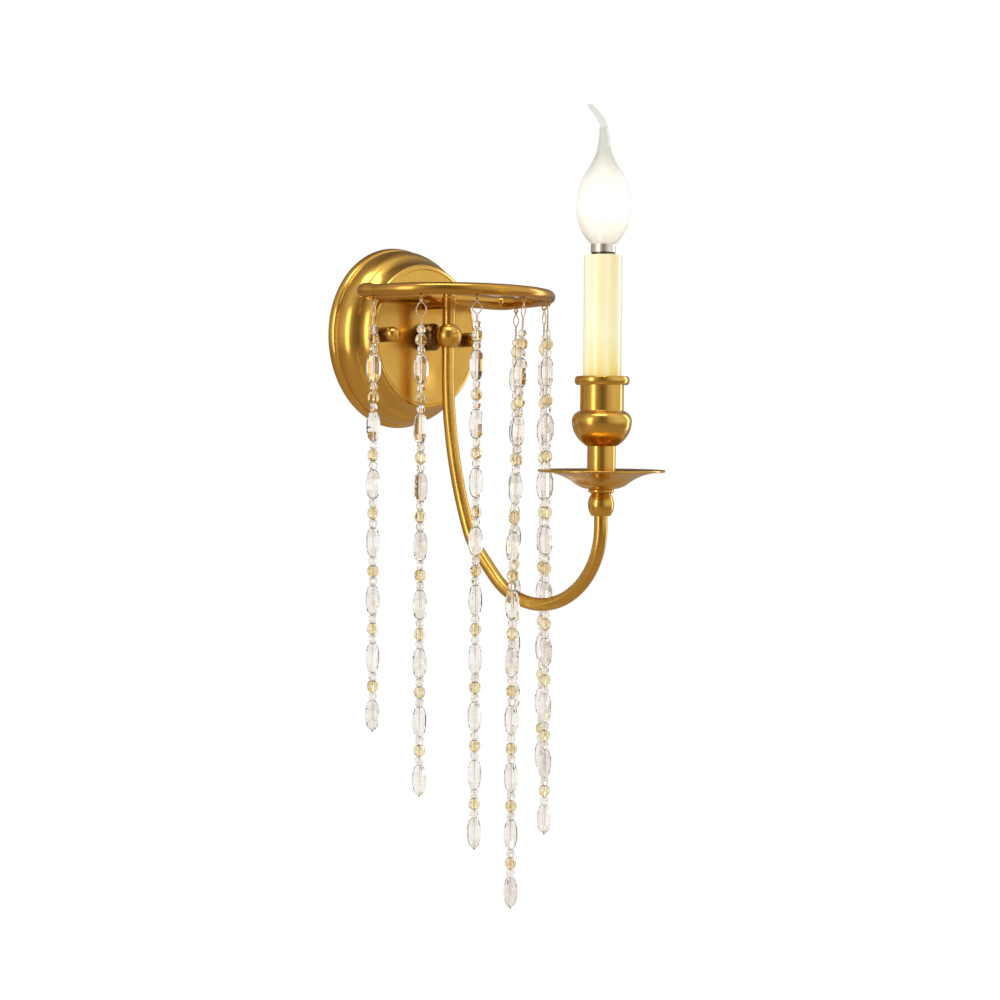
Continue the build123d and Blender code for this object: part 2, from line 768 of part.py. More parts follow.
def lamp_glass():
    outer_sections = ((0, 0, glass_tail_radius), (5.0, 0, 4.0), (11.0, 0, 3.3), (16.0, 0.4, 2.8),
                      (23.0, 3.1, 2.4), (glass_height - glass_body_height, 9.4, 1.6))
    outer = glass_body(0) + glass_tail(0, outer_sections)
    inner = glass_body(glass_wall) + glass_tail(glass_wall, outer_sections[:4])
    inner += rod(glass_neck_radius - glass_wall, glass_base - 1, glass_base + 1)
    return outer - inner


def lamp_mount():
    """The glass foot that carries the filament, flared to the neck of the bulb."""
    flare = glass_neck_radius - glass_wall - 0.1
    low = glass_base
    return turned((0, low), (flare, low), (flare, low + 0.7), ((4.0, low + 1.8), (2.4, low + 7.0)),
                  (2.4, low + 19.0), (1.6, low + 20.0), (0, low + 20.0))


def filament():
    """Support wires and filament as one bent wire, standing on the glass foot."""
    low = glass_base + 20.0 + 0.07
    top = lamp_skirt_base + filament_height
    route = FilletPolyline((-1.0, 0, low), (-4.2, 0, top - 2.0), (0, 0, top + 3.0), (4.2, 0, top - 2.0),
                           (1.0, 0, low), radius=1.2)
    return swept_tube(route, 0.35)


keep("lamp_cap", on_candle(lamp_cap()))
keep("lamp_insulator", on_candle(lamp_insulator()))
keep("lamp_contact", on_candle(lamp_contact()))
keep("lamp_glass", on_candle(lamp_glass()))
keep("lamp_mount", on_candle(lamp_mount()))
keep("lamp_filament", on_candle(filament()))


# ---- wires inside -------------------------------------------------------------------------------

def lamp_wire(side):
    """One lamp wire, from its connector behind the canopy through nipple, ball, arm and candle."""
    x = side * lamp_wire_spacing / 2
    connector_x = side * connector_spacing / 2
    back = -nipple_back + 4.0
    inside_connector = (connector_x, back + 7.0, connector_top - 4.0)
    above_connector = (connector_x, back + 7.0, connector_top + 3.0)
    enter = FilletPolyline(inside_connector, above_connector, (x, back + 4.0, 0), (x, back - 4.0, 0), radius=3.0)
    bend = arm_bore_radius
    route = Route(x, back - 4.0, 0, 90)
    route.run(back - 4.0 - hub_y - bend)
    route.turn(bend, -90)
    ball_end = -hub_flat_height + arm_insertion
    knuckle_end = knuckle_bottom + arm_knuckle_insertion
    wire_end = holder_base + holder_wire_bore_depth - 1.0
    follow_arm(route, -bend - ball_end, wire_end - knuckle_end)
    return swept_tube(Wire(list(enter.edges()) + route.edges), lamp_wire_radius)


def wire_connector(side):
    """A twist-on connector, open at its mouth."""
    low = connector_top - connector_length
    body = turned((0, low), (connector_radius * 0.6, low), (connector_radius * 0.75, low + 0.8),
                  (connector_radius, connector_top - 2.0), (connector_radius, connector_top), (0, connector_top))
    body -= rod(connector_radius - 1.0, connector_top - 5.0, connector_top + 1)
    return Pos(side * connector_spacing / 2, -nipple_back + 11.0, 0) * body


keep("lamp_wires", Compound(children=[lamp_wire(-1), lamp_wire(1)]))
keep("wire_connectors", Compound(children=[wire_connector(-1), wire_connector(1)]))


# ---- bead strings -------------------------------------------------------------------------------

def cut_bead(rows, sides):
    """A faceted bead on the Z axis. Each row is (height, radius), turned half a facet from the last."""
    points = []
    for number, (height, radius) in enumerate(rows):
        for side in range(sides):
            angle = math.radians(360.0 / sides * (side + 0.5 * (number % 2)))
            points.append((radius * math.cos(angle), radius * math.sin(angle), height))
    half = rows[-1][0]
    return ConvexPolyhedron(points) - rod(bead_wire_radius + rod_gap, -half - 1, half + 1)


def round_bead(length, radius, sides):
    """A round cut bead with a small flat at each end."""
    half = length / 2
    return cut_bead(((-half, radius * 0.45), (-half * 0.5, radius * 0.88), (0, radius),
                     (half * 0.5, radius * 0.88), (half, radius * 0.45)), sides)


def oval_bead():
    half = oval_bead_length / 2
    radius = oval_bead_radius
    return cut_bead(((-half, radius * 0.36), (-half * 0.62, radius * 0.78), (-half * 0.22, radius),
                     (half * 0.22, radius), (half * 0.62, radius * 0.78), (half, radius * 0.36)), 8)


small = round_bead(small_bead_length, small_bead_radius, 6)
champagne = round_bead(champagne_bead_length, champagne_bead_radius, 8)
oval = oval_bead()


def string_lean(index):
    """How far the string leans, in degrees, and the drop from its hook to the kink where that ends."""
    if index != leaning_string:
        return 0.0, 0.0
    first_top = string_top(index)
    drop = hang_z - first_top + leaning_repeats * string_pitch - bead_gap / 2
    side = arm_radius + oval_bead_radius + arm_to_bead_gap
    return math.degrees(math.asin(side / drop)), drop


def string_top(index):
    """Height of the upper end of a string's first bead."""
    return string_first_bead[index] + champagne_bead_length / 2 + bead_gap + small_bead_length


def on_string(index, depth):
    """The place at a depth below a string's hook, measured along the string."""
    lean, kink = string_lean(index)
    hook = at_string(index, hang_z)
    # The leaning string hangs at the front of the ring, so its lean is a turn about its own outward axis.
    if depth <= kink:
        return hook * Rot(-lean, 0, 0) * Pos(0, 0, -depth)
    aside = kink * math.sin(math.radians(lean))
    down = kink * math.cos(math.radians(lean)) + depth - kink
    return hook * Pos(0, -aside, -down)


def string_beads(index):
    """The clear beads and the champagne beads of one string."""
    clear = []
    tinted = []
    depth = hang_z - string_top(index)
    for repeat in range(string_repeats[index]):
        for bead, length, group in ((small, small_bead_length, clear),
                                    (champagne, champagne_bead_length, tinted),
                                    (small, small_bead_length, clear),
                                    (oval, oval_bead_length, clear)):
            group.append(on_string(index, depth + length / 2) * bead)
            depth += length + bead_gap
    return clear, tinted, depth


def wire_loop():
    """The loop that passes through the eye, its middle round the eye's wire, drawn in to the twist."""
    shoulder = (wire_loop_width / 2, wire_loop_shoulder)
    reach = wire_loop_radius
    # The apex is where the two upper runs would meet if they touch the circle round the eye's wire.
    a = shoulder[0] ** 2 - reach ** 2
    b = -2 * reach ** 2 * shoulder[1]
    c = -reach ** 2 * (shoulder[0] ** 2 + shoulder[1] ** 2)
    apex = (-b + math.sqrt(b * b - 4 * a * c)) / (2 * a)
    foot = bead_wire_radius + 0.05
    corners = [(0, -foot, -wire_loop_drop), (0, -shoulder[0], -shoulder[1]), (0, 0, apex),
               (0, shoulder[0], -shoulder[1]), (0, foot, -wire_loop_drop)]
    path = FilletPolyline(*corners, radius=[1.6, reach, 1.6])
    return swept_tube(path, bead_wire_radius)


def string_wire(index, end_depth):
    """Loop, twist, and the wire through the beads with its crimped end."""
    lean, kink = string_lean(index)
    top = hang_z - string_top(index)
    wire = on_string(index, 0) * wire_loop()
    wire += on_string(index, 0) * rod(twist_radius, -top, -wire_loop_drop + 0.3)
    straight_end = kink if lean else end_depth
    wire += on_string(index, 0) * rod(bead_wire_radius, -straight_end, -top)
    if lean:
        wire += on_string(index, kink) * Sphere(bead_wire_radius)
        wire += on_string(index, end_depth) * rod(bead_wire_radius, 0, end_depth - kink)
    wire += on_string(index, end_depth) * Sphere(wire_end_radius)
    return wire


for index in range(string_count):
    clear_beads, champagne_beads, beads_end = string_beads(index)
    name = f"string_{index + 1}"
    keep(f"{name}_wire", string_wire(index, beads_end + wire_end_radius))
    keep(f"{name}_clear_beads", Compound(children=clear_beads))
    keep(f"{name}_champagne_beads", Compound(children=champagne_beads))


# ---- write the pieces ---------------------------------------------------------------------------

for name, solid in parts.items():
    export_step(solid, f"parts/{name}.step")
print(len(parts), "pieces written")
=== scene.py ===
import json
import math

import bmesh
import bpy
from mathutils import Matrix, Vector


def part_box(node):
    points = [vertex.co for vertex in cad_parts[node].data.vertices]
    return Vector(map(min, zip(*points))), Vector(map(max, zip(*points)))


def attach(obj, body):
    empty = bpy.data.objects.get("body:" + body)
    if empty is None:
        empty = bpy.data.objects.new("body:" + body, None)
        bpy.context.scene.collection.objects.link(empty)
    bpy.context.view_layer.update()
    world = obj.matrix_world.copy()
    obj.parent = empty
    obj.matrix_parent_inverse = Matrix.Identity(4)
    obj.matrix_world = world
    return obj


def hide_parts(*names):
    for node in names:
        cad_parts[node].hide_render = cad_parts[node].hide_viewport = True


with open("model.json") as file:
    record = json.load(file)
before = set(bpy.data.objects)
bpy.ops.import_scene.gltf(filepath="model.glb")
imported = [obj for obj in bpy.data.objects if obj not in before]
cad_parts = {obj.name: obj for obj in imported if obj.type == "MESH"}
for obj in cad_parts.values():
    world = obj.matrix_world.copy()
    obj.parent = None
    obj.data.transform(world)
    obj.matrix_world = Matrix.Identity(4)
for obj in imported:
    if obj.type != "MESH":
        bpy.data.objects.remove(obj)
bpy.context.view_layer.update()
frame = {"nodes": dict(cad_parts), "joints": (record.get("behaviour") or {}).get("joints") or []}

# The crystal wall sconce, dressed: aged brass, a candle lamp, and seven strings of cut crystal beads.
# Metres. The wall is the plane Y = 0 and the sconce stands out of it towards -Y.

MM = 0.001
NODES = frame["nodes"]

# ---- places taken from the frame ----------------------------------------------------------------

HINGES = {joint["child"]: joint for joint in frame["joints"]}
CUP_LOW, CUP_HIGH = (Vector(corner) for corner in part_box("candle_cup"))
CANDLE_Y = (CUP_LOW.y + CUP_HIGH.y) / 2
BALL_LOW, BALL_HIGH = (Vector(corner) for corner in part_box("hub_ball"))
HUB_Y = (BALL_LOW.y + BALL_HIGH.y) / 2
GLASS_LOW, GLASS_HIGH = (Vector(corner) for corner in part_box("lamp_glass"))


# ---- camera -------------------------------------------------------------------------------------

CAMERA_PLACE = (-0.8503, -0.8903, -0.0688)
VIEW_YAW, VIEW_PITCH, VIEW_ROLL = (math.radians(angle) for angle in (-47.38, -2.35, 0.37))
LENS, SENSOR_WIDTH = 59.36, 36.0  # real millimetres, as Blender's cameras have them


def add_camera():
    """The camera that the photograph's view fits: its place, its direction and its lens."""
    data = bpy.data.cameras.new("camera")
    data.sensor_width = SENSOR_WIDTH
    data.lens = LENS
    data.clip_start = 50 * MM
    camera = bpy.data.objects.new("camera", data)
    turn = Matrix.Rotation(VIEW_YAW, 4, "Z") @ Matrix.Rotation(math.radians(90) + VIEW_PITCH, 4, "X")
    camera.matrix_world = Matrix.Translation(CAMERA_PLACE) @ turn @ Matrix.Rotation(VIEW_ROLL, 4, "Z")
    bpy.context.scene.collection.objects.link(camera)
    bpy.context.scene.camera = camera


add_camera()


# ---- node helpers -------------------------------------------------------------------------------

def add_node(tree, kind, inputs=None, **settings):
    """A node with its settings, its inputs set to values or linked from other sockets."""
    node = tree.nodes.new(kind)
    for key, value in settings.items():
        setattr(node, key, value)
    for key, value in (inputs or {}).items():
        socket = node.inputs[key]
        if isinstance(value, bpy.types.NodeSocket):
            tree.links.new(value, socket)
        else:
            socket.default_value = value
    return node


def math_node(tree, operation, a, b=0.0, c=0.0):
    """The result of a sum whose terms are values or sockets."""
    return add_node(tree, "ShaderNodeMath", {0: a, 1: b, 2: c}, operation=operation).outputs[0]


def mix_colours(tree, share, first, second, blend="MIX"):
    """A share of the second colour over the first."""
    node = add_node(tree, "ShaderNodeMix", {"Factor": share, "A": first, "B": second}, data_type="RGBA",
                    blend_type=blend)
    return node.outputs["Result"]


def ramp(tree, value, *stops):
    """A colour ramp. A stop is (position, grey level) or (position, (r, g, b))."""
    node = add_node(tree, "ShaderNodeValToRGB", {"Fac": value})
    elements = node.color_ramp.elements
    for number, (position, colour) in enumerate(stops):
        element = elements[number] if number < 2 else elements.new(position)
        element.position = position
        rgb = colour if isinstance(colour, tuple) else (colour,) * 3
        element.color = (*rgb, 1.0)
    return node.outputs["Color"]


def new_group(name, inputs, outputs):
    """An empty shader group with named sockets: (name, type, default)."""
    group = bpy.data.node_groups.new(name, "ShaderNodeTree")
    for label, kind, default in inputs:
        socket = group.interface.new_socket(label, in_out="INPUT", socket_type=kind)
        if default is not None:
            socket.default_value = default
    for label, kind in outputs:
        group.interface.new_socket(label, in_out="OUTPUT", socket_type=kind)
    source = group.nodes.new("NodeGroupInput")
    sink = group.nodes.new("NodeGroupOutput")
    return group, source, sink


def new_material(name):
    """A material with nothing but its shader and output."""
    material = bpy.data.materials.new(name)
    material.use_nodes = True
    tree = material.node_tree
    tree.nodes.clear()
    shader = tree.nodes.new("ShaderNodeBsdfPrincipled")
    output = tree.nodes.new("ShaderNodeOutputMaterial")
    tree.links.new(shader.outputs["BSDF"], output.inputs["Surface"])
    return material, tree, shader


def place_group(tree, group, **inputs):
    """A shader group in a material. An underscore in a keyword stands for a space in the socket's name."""
    node = tree.nodes.new("ShaderNodeGroup")
    node.node_tree = group
    for label, value in inputs.items():
        socket = node.inputs[label.replace("_", " ")]
        if isinstance(value, bpy.types.NodeSocket):
            tree.links.new(value, socket)
        else:
            socket.default_value = value
    return node


def object_place(tree, centre=(0, 0, 0), turn=(0, 0, 0)):
    """Object coordinates, moved so that centre is their origin, then turned."""
    coordinates = tree.nodes.new("ShaderNodeTexCoord")
    moved = add_node(tree, "ShaderNodeVectorMath", {0: coordinates.outputs["Object"], 1: centre},
                     operation="SUBTRACT")
    mapping = add_node(tree, "ShaderNodeMapping", {"Vector": moved.outputs[0], "Rotation": turn})
    return mapping.outputs["Vector"]


def bump(tree, shader, height, distance, strength):
    """Fine relief of the surface, its full height given by distance."""
    node = add_node(tree, "ShaderNodeBump", {"Height": height, "Distance": distance, "Strength": strength})
    tree.links.new(node.outputs["Normal"], shader.inputs["Normal"])


# ---- shared effects -----------------------------------------------------------------------------

def turning_marks_group():
    """Fine rings left by spinning or turning a piece about the Z axis of the vector that goes in."""
    group, source, sink = new_group(
        "turning_marks",
        [("Vector", "NodeSocketVector", None), ("Rings", "NodeSocketFloat", 1500.0),
         ("Along", "NodeSocketFloat", 1500.0)],
        [("Marks", "NodeSocketFloat"), ("Broad", "NodeSocketFloat")])
    split = add_node(group, "ShaderNodeSeparateXYZ", {0: source.outputs["Vector"]})
    x, y, z = split.outputs
    radius = math_node(group, "SQRT", math_node(group, "ADD", math_node(group, "MULTIPLY", x, x),
                                                math_node(group, "MULTIPLY", y, y)))
    around = math_node(group, "ARCTAN2", y, x)
    rings = math_node(group, "MULTIPLY", radius, source.outputs["Rings"])
    along = math_node(group, "MULTIPLY", z, source.outputs["Along"])
    place = add_node(group, "ShaderNodeCombineXYZ", {0: rings, 1: along, 2: around})
    fine = add_node(group, "ShaderNodeTexNoise", {"Vector": place.outputs[0], "Scale": 1.0, "Detail": 3.0,
                                                  "Roughness": 0.6})
    broad = add_node(group, "ShaderNodeTexNoise", {"Vector": place.outputs[0], "Scale": 0.13, "Detail": 2.0})
    group.links.new(fine.outputs["Fac"], sink.inputs["Marks"])
    group.links.new(broad.outputs["Fac"], sink.inputs["Broad"])
    return group


def aged_finish_group():
    """Cloudy ageing and small specks: a colour between two tones and a mask of duller places."""
    group, source, sink = new_group(
        "aged_finish",
        [("Vector", "NodeSocketVector", None), ("Clean", "NodeSocketColor", (0.8, 0.5, 0.2, 1)),
         ("Aged", "NodeSocketColor", (0.5, 0.3, 0.1, 1)), ("Cloud Scale", "NodeSocketFloat", 30.0),
         ("Amount", "NodeSocketFloat", 0.5)],
        [("Color", "NodeSocketColor"), ("Dull", "NodeSocketFloat")])
    cloud = add_node(group, "ShaderNodeTexNoise", {"Vector": source.outputs["Vector"],
                                                   "Scale": source.outputs["Cloud Scale"], "Detail": 5.0,
                                                   "Roughness": 0.65})
    speck_scale = math_node(group, "MULTIPLY", source.outputs["Cloud Scale"], 14.0)
    speck = add_node(group, "ShaderNodeTexNoise", {"Vector": source.outputs["Vector"], "Scale": speck_scale,
                                                   "Detail": 2.0})
    clouds = add_node(group, "ShaderNodeMapRange", {"Value": cloud.outputs["Fac"], "From Min": 0.42,
                                                    "From Max": 0.72})
    specks = add_node(group, "ShaderNodeMapRange", {"Value": speck.outputs["Fac"], "From Min": 0.62,
                                                    "From Max": 0.75})
    faint_specks = math_node(group, "MULTIPLY", specks.outputs[0], 0.6)
    both = math_node(group, "MAXIMUM", clouds.outputs[0], faint_specks)
    mask = math_node(group, "MULTIPLY", both, source.outputs["Amount"])
    colour = mix_colours(group, mask, source.outputs["Clean"], source.outputs["Aged"])
    group.links.new(colour, sink.inputs["Color"])
    group.links.new(mask, sink.inputs["Dull"])
    return group


TURNING_MARKS = turning_marks_group()
AGED_FINISH = aged_finish_group()


# ---- materials ----------------------------------------------------------------------------------

BRASS = (0.74, 0.435, 0.078, 1.0)
BRASS_AGED = (0.52, 0.255, 0.036, 1.0)
# painted shade: a darker copy of the brass that stands in for the ring's darker reflections
BRASS_ROD_PAINTED_DARKER = (0.62, 0.335, 0.055, 1.0)  # darker, for the ring and its post
# the painted shade of the neck and the cap nuts, close in front of the canopy's face
PAINTED_SHADE_TONE = (0.13, 0.052, 0.014, 1.0)
WHITE = (1, 1, 1, 1)
FACE_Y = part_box("neck_coupling")[1][1]  # the canopy's face, where the neck stands on it
GLOSS_DRIFT = 0.09  # how far the turning marks vary the roughness
DULLING = 0.16  # roughness that full ageing adds


def metal(name, clean, aged, centre, turn=(0, 0, 0), roughness=0.2, rings=1400.0, amount=0.35, clouds=32.0,
          relief=4e-6, coat=0.0, painted_shade=None):
    """Turned metal: rings about an axis, cloudy ageing, and a gloss that the ageing dulls. Painted shade
    darkens what lies close in front of the canopy's face, and ends between the two distances from it."""
    material, tree, shader = new_material(name)
    place = object_place(tree, centre, turn)
    marks = place_group(tree, TURNING_MARKS, Vector=place, Rings=rings, Along=rings)
    finish = place_group(tree, AGED_FINISH, Vector=place, Clean=clean, Aged=aged, Cloud_Scale=clouds,
                         Amount=amount)
    colour = finish.outputs["Color"]
    # Painted shade: the colour darkens towards the canopy's face.
    if painted_shade:
        split = add_node(tree, "ShaderNodeSeparateXYZ", {0: object_place(tree, (0, FACE_Y, 0))})
        forward = math_node(tree, "MULTIPLY", split.outputs["Y"], -1.0)
        near = add_node(tree, "ShaderNodeMapRange", {"Value": forward, "From Min": painted_shade[0],
                                                     "From Max": painted_shade[1], "To Min": 0.9, "To Max": 0.0})
        colour = mix_colours(tree, near.outputs[0], colour, PAINTED_SHADE_TONE)
    tree.links.new(colour, shader.inputs["Base Color"])
    gloss = math_node(tree, "MULTIPLY_ADD", marks.outputs["Broad"], GLOSS_DRIFT, roughness - GLOSS_DRIFT / 2)
    gloss = math_node(tree, "MULTIPLY_ADD", finish.outputs["Dull"], DULLING, gloss)
    tree.links.new(gloss, shader.inputs["Roughness"])
    shader.inputs["Metallic"].default_value = 1.0
    shader.inputs["Coat Weight"].default_value = coat
    shader.inputs["Coat Roughness"].default_value = 0.1
    shader.inputs["Coat IOR"].default_value = 1.5
    bump(tree, shader, marks.outputs["Marks"], relief, 0.6)
    return material


ON_WALL_AXIS = (math.radians(90), 0, 0)
HUB_AXIS = (0, HUB_Y, 0)
CANDLE_AXIS = (0, CANDLE_Y, 0)
brass_wall = metal("brass_spun_canopy", BRASS, BRASS_AGED, (0, 0, 0), ON_WALL_AXIS, roughness=0.2,
                   amount=0.3, clouds=22.0, coat=0.3)
# The neck and the cap nuts are painted darker close to the canopy's face, as shade.
brass_neck = metal("brass_neck", BRASS, BRASS_AGED, (0, 0, 0), ON_WALL_AXIS, roughness=0.25, coat=0.2,
                   painted_shade=(12 * MM, 26 * MM))
brass_nut = metal("brass_cap_nut", BRASS, BRASS_AGED, (0, 0, 0), ON_WALL_AXIS, roughness=0.2, coat=0.3,
                  painted_shade=(5 * MM, 9 * MM))
brass_hub = metal("brass_turned_hub", BRASS, BRASS_AGED, HUB_AXIS, roughness=0.22, coat=0.3)
brass_candle = metal("brass_turned_candle", BRASS, BRASS_AGED, CANDLE_AXIS, roughness=0.2, coat=0.3)
brass_rod = metal("brass_drawn_rod", BRASS_ROD_PAINTED_DARKER, BRASS_AGED, HUB_AXIS, roughness=0.2, rings=120.0, relief=2e-6,
                  coat=0.3)
brass_arm = metal("brass_drawn_tube", BRASS, BRASS_AGED, CANDLE_AXIS, roughness=0.2, rings=260.0, coat=0.3)
steel = metal("zinc_plated_steel", (0.60, 0.62, 0.62, 1), (0.40, 0.42, 0.40, 1), (0, 0, 0), ON_WALL_AXIS,
              roughness=0.3, rings=700.0, amount=0.5, clouds=90.0)
nickel = metal("nickel_plated_cap", (0.90, 0.87, 0.81, 1), (0.6, 0.45, 0.34, 1), CANDLE_AXIS, roughness=0.3,
               amount=0.35, clouds=120.0)
bright_brass = metal("contact_brass", (0.86, 0.62, 0.24, 1), (0.6, 0.4, 0.14, 1), CANDLE_AXIS,
                     roughness=0.2, amount=0.2)
copper = metal("fine_copper_wire", (0.88, 0.68, 0.50, 1), (0.62, 0.38, 0.22, 1), (0, 0, 0), roughness=0.2,
               rings=4000.0, amount=0.5, clouds=260.0)
core_wire = metal("fine_pale_wire", (0.90, 0.84, 0.74, 1), (0.80, 0.68, 0.52, 1), (0, 0, 0), roughness=0.25,
                  rings=4000.0, amount=0.5, clouds=260.0)
solder = metal("solder_drop", (0.62, 0.62, 0.60, 1), (0.4, 0.4, 0.4, 1), CANDLE_AXIS, roughness=0.4)
green_steel = metal("green_ground_screw", (0.12, 0.42, 0.17, 1), (0.07, 0.25, 0.1, 1), (0, 0, 0),
                    ON_WALL_AXIS, roughness=0.35)


def plastic(name, colour, shade, roughness):
    """Moulded plastic: faint flow clouds in the colour and a fine orange-peel surface."""
    material, tree, shader = new_material(name)
    place = object_place(tree)
    finish = place_group(tree, AGED_FINISH, Vector=place, Clean=colour, Aged=shade, Cloud_Scale=40.0,
                         Amount=0.5)
    tree.links.new(finish.outputs["Color"], shader.inputs["Base Color"])
    gloss = math_node(tree, "MULTIPLY_ADD", finish.outputs["Dull"], 0.15, roughness)
    tree.links.new(gloss, shader.inputs["Roughness"])
    skin = add_node(tree, "ShaderNodeTexNoise", {"Vector": place, "Scale": 500.0, "Detail": 2.0})
    bump(tree, shader, skin.outputs["Fac"], 1e-5, 0.5)
    return material


black_plastic = plastic("black_lampholder", (0.018, 0.017, 0.016, 1), (0.035, 0.033, 0.03, 1), 0.22)
connector_plastic = plastic("red_connector", (0.55, 0.07, 0.04, 1), (0.4, 0.05, 0.03, 1), 0.3)
wire_sheath = plastic("white_wire_sheath", (0.82, 0.82, 0.79, 1), (0.7, 0.69, 0.64, 1), 0.35)
black_glass = plastic("black_lamp_glass", (0.02, 0.02, 0.024, 1), (0.03, 0.03, 0.03, 1), 0.08)


PALE_IVORY = (0.97, 0.95, 0.80, 1)
SLEEVE_HEIGHT = 79.4 * MM  # about as far as the tube stands out of the cup


def sleeve_plastic():
    """The candle tube: glossy ivory, a faint painted glow, and a painted yellow reflection of the cup low
    down.
    """
    material, tree, shader = new_material("ivory_candle_tube")
    place = object_place(tree, (0, CANDLE_Y, CUP_HIGH.z))
    split = add_node(tree, "ShaderNodeSeparateXYZ", {0: place})
    height = math_node(tree, "MULTIPLY", split.outputs["Z"], 1.0 / SLEEVE_HEIGHT)
    # Painted reflection: yellower towards the bottom, as the cup's light on the tube.
    colour = ramp(tree, height, (0.0, (0.88, 0.68, 0.14)), (0.12, (0.91, 0.77, 0.28)),
                  (0.35, (0.93, 0.85, 0.50)), (1.0, (0.92, 0.79, 0.40)))
    streak_place = add_node(tree, "ShaderNodeMapping", {"Vector": place, "Scale": (1.0, 1.0, 0.04)})
    streaks = add_node(tree, "ShaderNodeTexNoise", {"Vector": streak_place.outputs[0], "Scale": 150.0,
                                                    "Detail": 2.0})
    band = add_node(tree, "ShaderNodeMapRange", {"Value": streaks.outputs["Fac"], "From Min": 0.4,
                                                 "From Max": 0.6})
    paleness = math_node(tree, "MULTIPLY", band.outputs[0], streaks.outputs["Fac"])
    toned = mix_colours(tree, paleness, colour, PALE_IVORY)
    for label in ("Base Color", "Emission Color"):
        tree.links.new(toned, shader.inputs[label])
    # Painted glow: the tube shines faintly in its own colours.
    shader.inputs["Emission Strength"].default_value = 0.26
    gloss = math_node(tree, "MULTIPLY_ADD", streaks.outputs["Fac"], 0.1, 0.12)
    tree.links.new(gloss, shader.inputs["Roughness"])
    shader.inputs["Specular IOR Level"].default_value = 0.6
    bump(tree, shader, streaks.outputs["Fac"], 6e-6, 0.5)
    return material


def glass(name, ior, cloud=120.0):
    """Clear glass with the faintest of waves in its surface. Each use gives it a tint and a gloss."""
    material, tree, shader = new_material(name)
    wave = add_node(tree, "ShaderNodeTexNoise", {"Vector": object_place(tree), "Scale": cloud * 0.8,
                                                 "Detail": 1.0})
    bump(tree, shader, wave.outputs["Fac"], 2e-5, 0.3)
    shader.inputs["Transmission Weight"].default_value = 1.0
    shader.inputs["IOR"].default_value = ior
    return material, tree, shader


def polish(tree, shader, roughness=0.0):
    """A gloss that drifts a little from place to place. Returns the drift."""
    place = object_place(tree)
    drift = add_node(tree, "ShaderNodeTexNoise", {"Vector": place, "Scale": 120.0, "Detail": 2.0})
    gloss = math_node(tree, "MULTIPLY_ADD", drift.outputs["Fac"], 0.02, roughness)
    tree.links.new(gloss, shader.inputs["Roughness"])
    return drift.outputs["Fac"]


def cut_crystal(name, edge, tint, clearer):
    """Cut crystal: every facet has a painted tint of its own, a painted reflection of another part of the
    room.
    """
    material, tree, shader = glass(name, CRYSTAL_IOR)
    polish(tree, shader)
    # Painted reflection: the tint follows the way each facet faces.
    facing = tree.nodes.new("ShaderNodeTexCoord").outputs["Normal"]
    apart = add_node(tree, "ShaderNodeVectorMath", {0: facing, "Scale": 1.7}, operation="SCALE")
    facet = add_node(tree, "ShaderNodeTexNoise", {"Vector": apart.outputs[0], "Scale": 2.2, "Detail": 1.0})
    tone = ramp(tree, facet.outputs["Fac"], (0.36, edge), (0.47, tint), (0.60, clearer))
    tree.links.new(tone, shader.inputs["Base Color"])
    return material


def mount_glass():
    """The lamp's glass foot and stem, faintly green in places."""
    material, tree, shader = glass("lamp_mount_glass", MOUNT_IOR)
    drift = polish(tree, shader, 0.02)
    tree.links.new(mix_colours(tree, drift, (0.94, 0.95, 0.93, 1), WHITE), shader.inputs["Base Color"])
    return material


CRYSTAL_IOR, MOUNT_IOR, BULB_IOR = 1.42, 1.5, 1.36
clear_crystal = cut_crystal("clear_cut_crystal", (0.72, 0.64, 0.56), (0.92, 0.88, 0.81), (1, 0.99, 0.965))
champagne_crystal = cut_crystal("champagne_cut_crystal", (0.62, 0.44, 0.18), (0.88, 0.75, 0.44),
                                (0.98, 0.93, 0.76))


def bulb_glass():
    """The lamp's glass: softly frosted round the filament, clear in the drawn-out tail."""
    material, tree, shader = glass("lamp_flame_glass", BULB_IOR, cloud=60.0)
    place = object_place(tree, (0, CANDLE_Y, GLASS_LOW.z))
    split = add_node(tree, "ShaderNodeSeparateXYZ", {0: place})
    share = math_node(tree, "MULTIPLY", split.outputs["Z"], 1.0 / (GLASS_HIGH.z - GLASS_LOW.z))
    frost = ramp(tree, share, (0.0, 0.35), (0.55, 0.42), (0.72, 0.32), (1.0, 0.25))
    tree.links.new(frost, shader.inputs["Roughness"])
    tint = ramp(tree, share, (0.0, (0.90, 0.88, 0.83)), (0.3, (0.95, 0.94, 0.90)), (0.58, (0.92, 0.91, 0.86)),
                (0.70, (0.87, 0.88, 0.82)), (1.0, (0.84, 0.85, 0.79)))
    tree.links.new(tint, shader.inputs["Base Color"])
    glow = ramp(tree, share, (0.0, (0.20, 0.15, 0.10)), (0.14, (0.70, 0.62, 0.50)), (0.32, (1.0, 0.98, 0.92)),
                (0.50, (0.7, 0.68, 0.62)), (0.66, (0.10, 0.10, 0.08)), (1.0, (0.0, 0.0, 0.0)))
    tree.links.new(glow, shader.inputs["Emission Color"])
    shader.inputs["Emission Strength"].default_value = 0.12
    return material


FILAMENT_HEIGHT = 34 * MM  # a little over the filament's top, above the glass's lower end


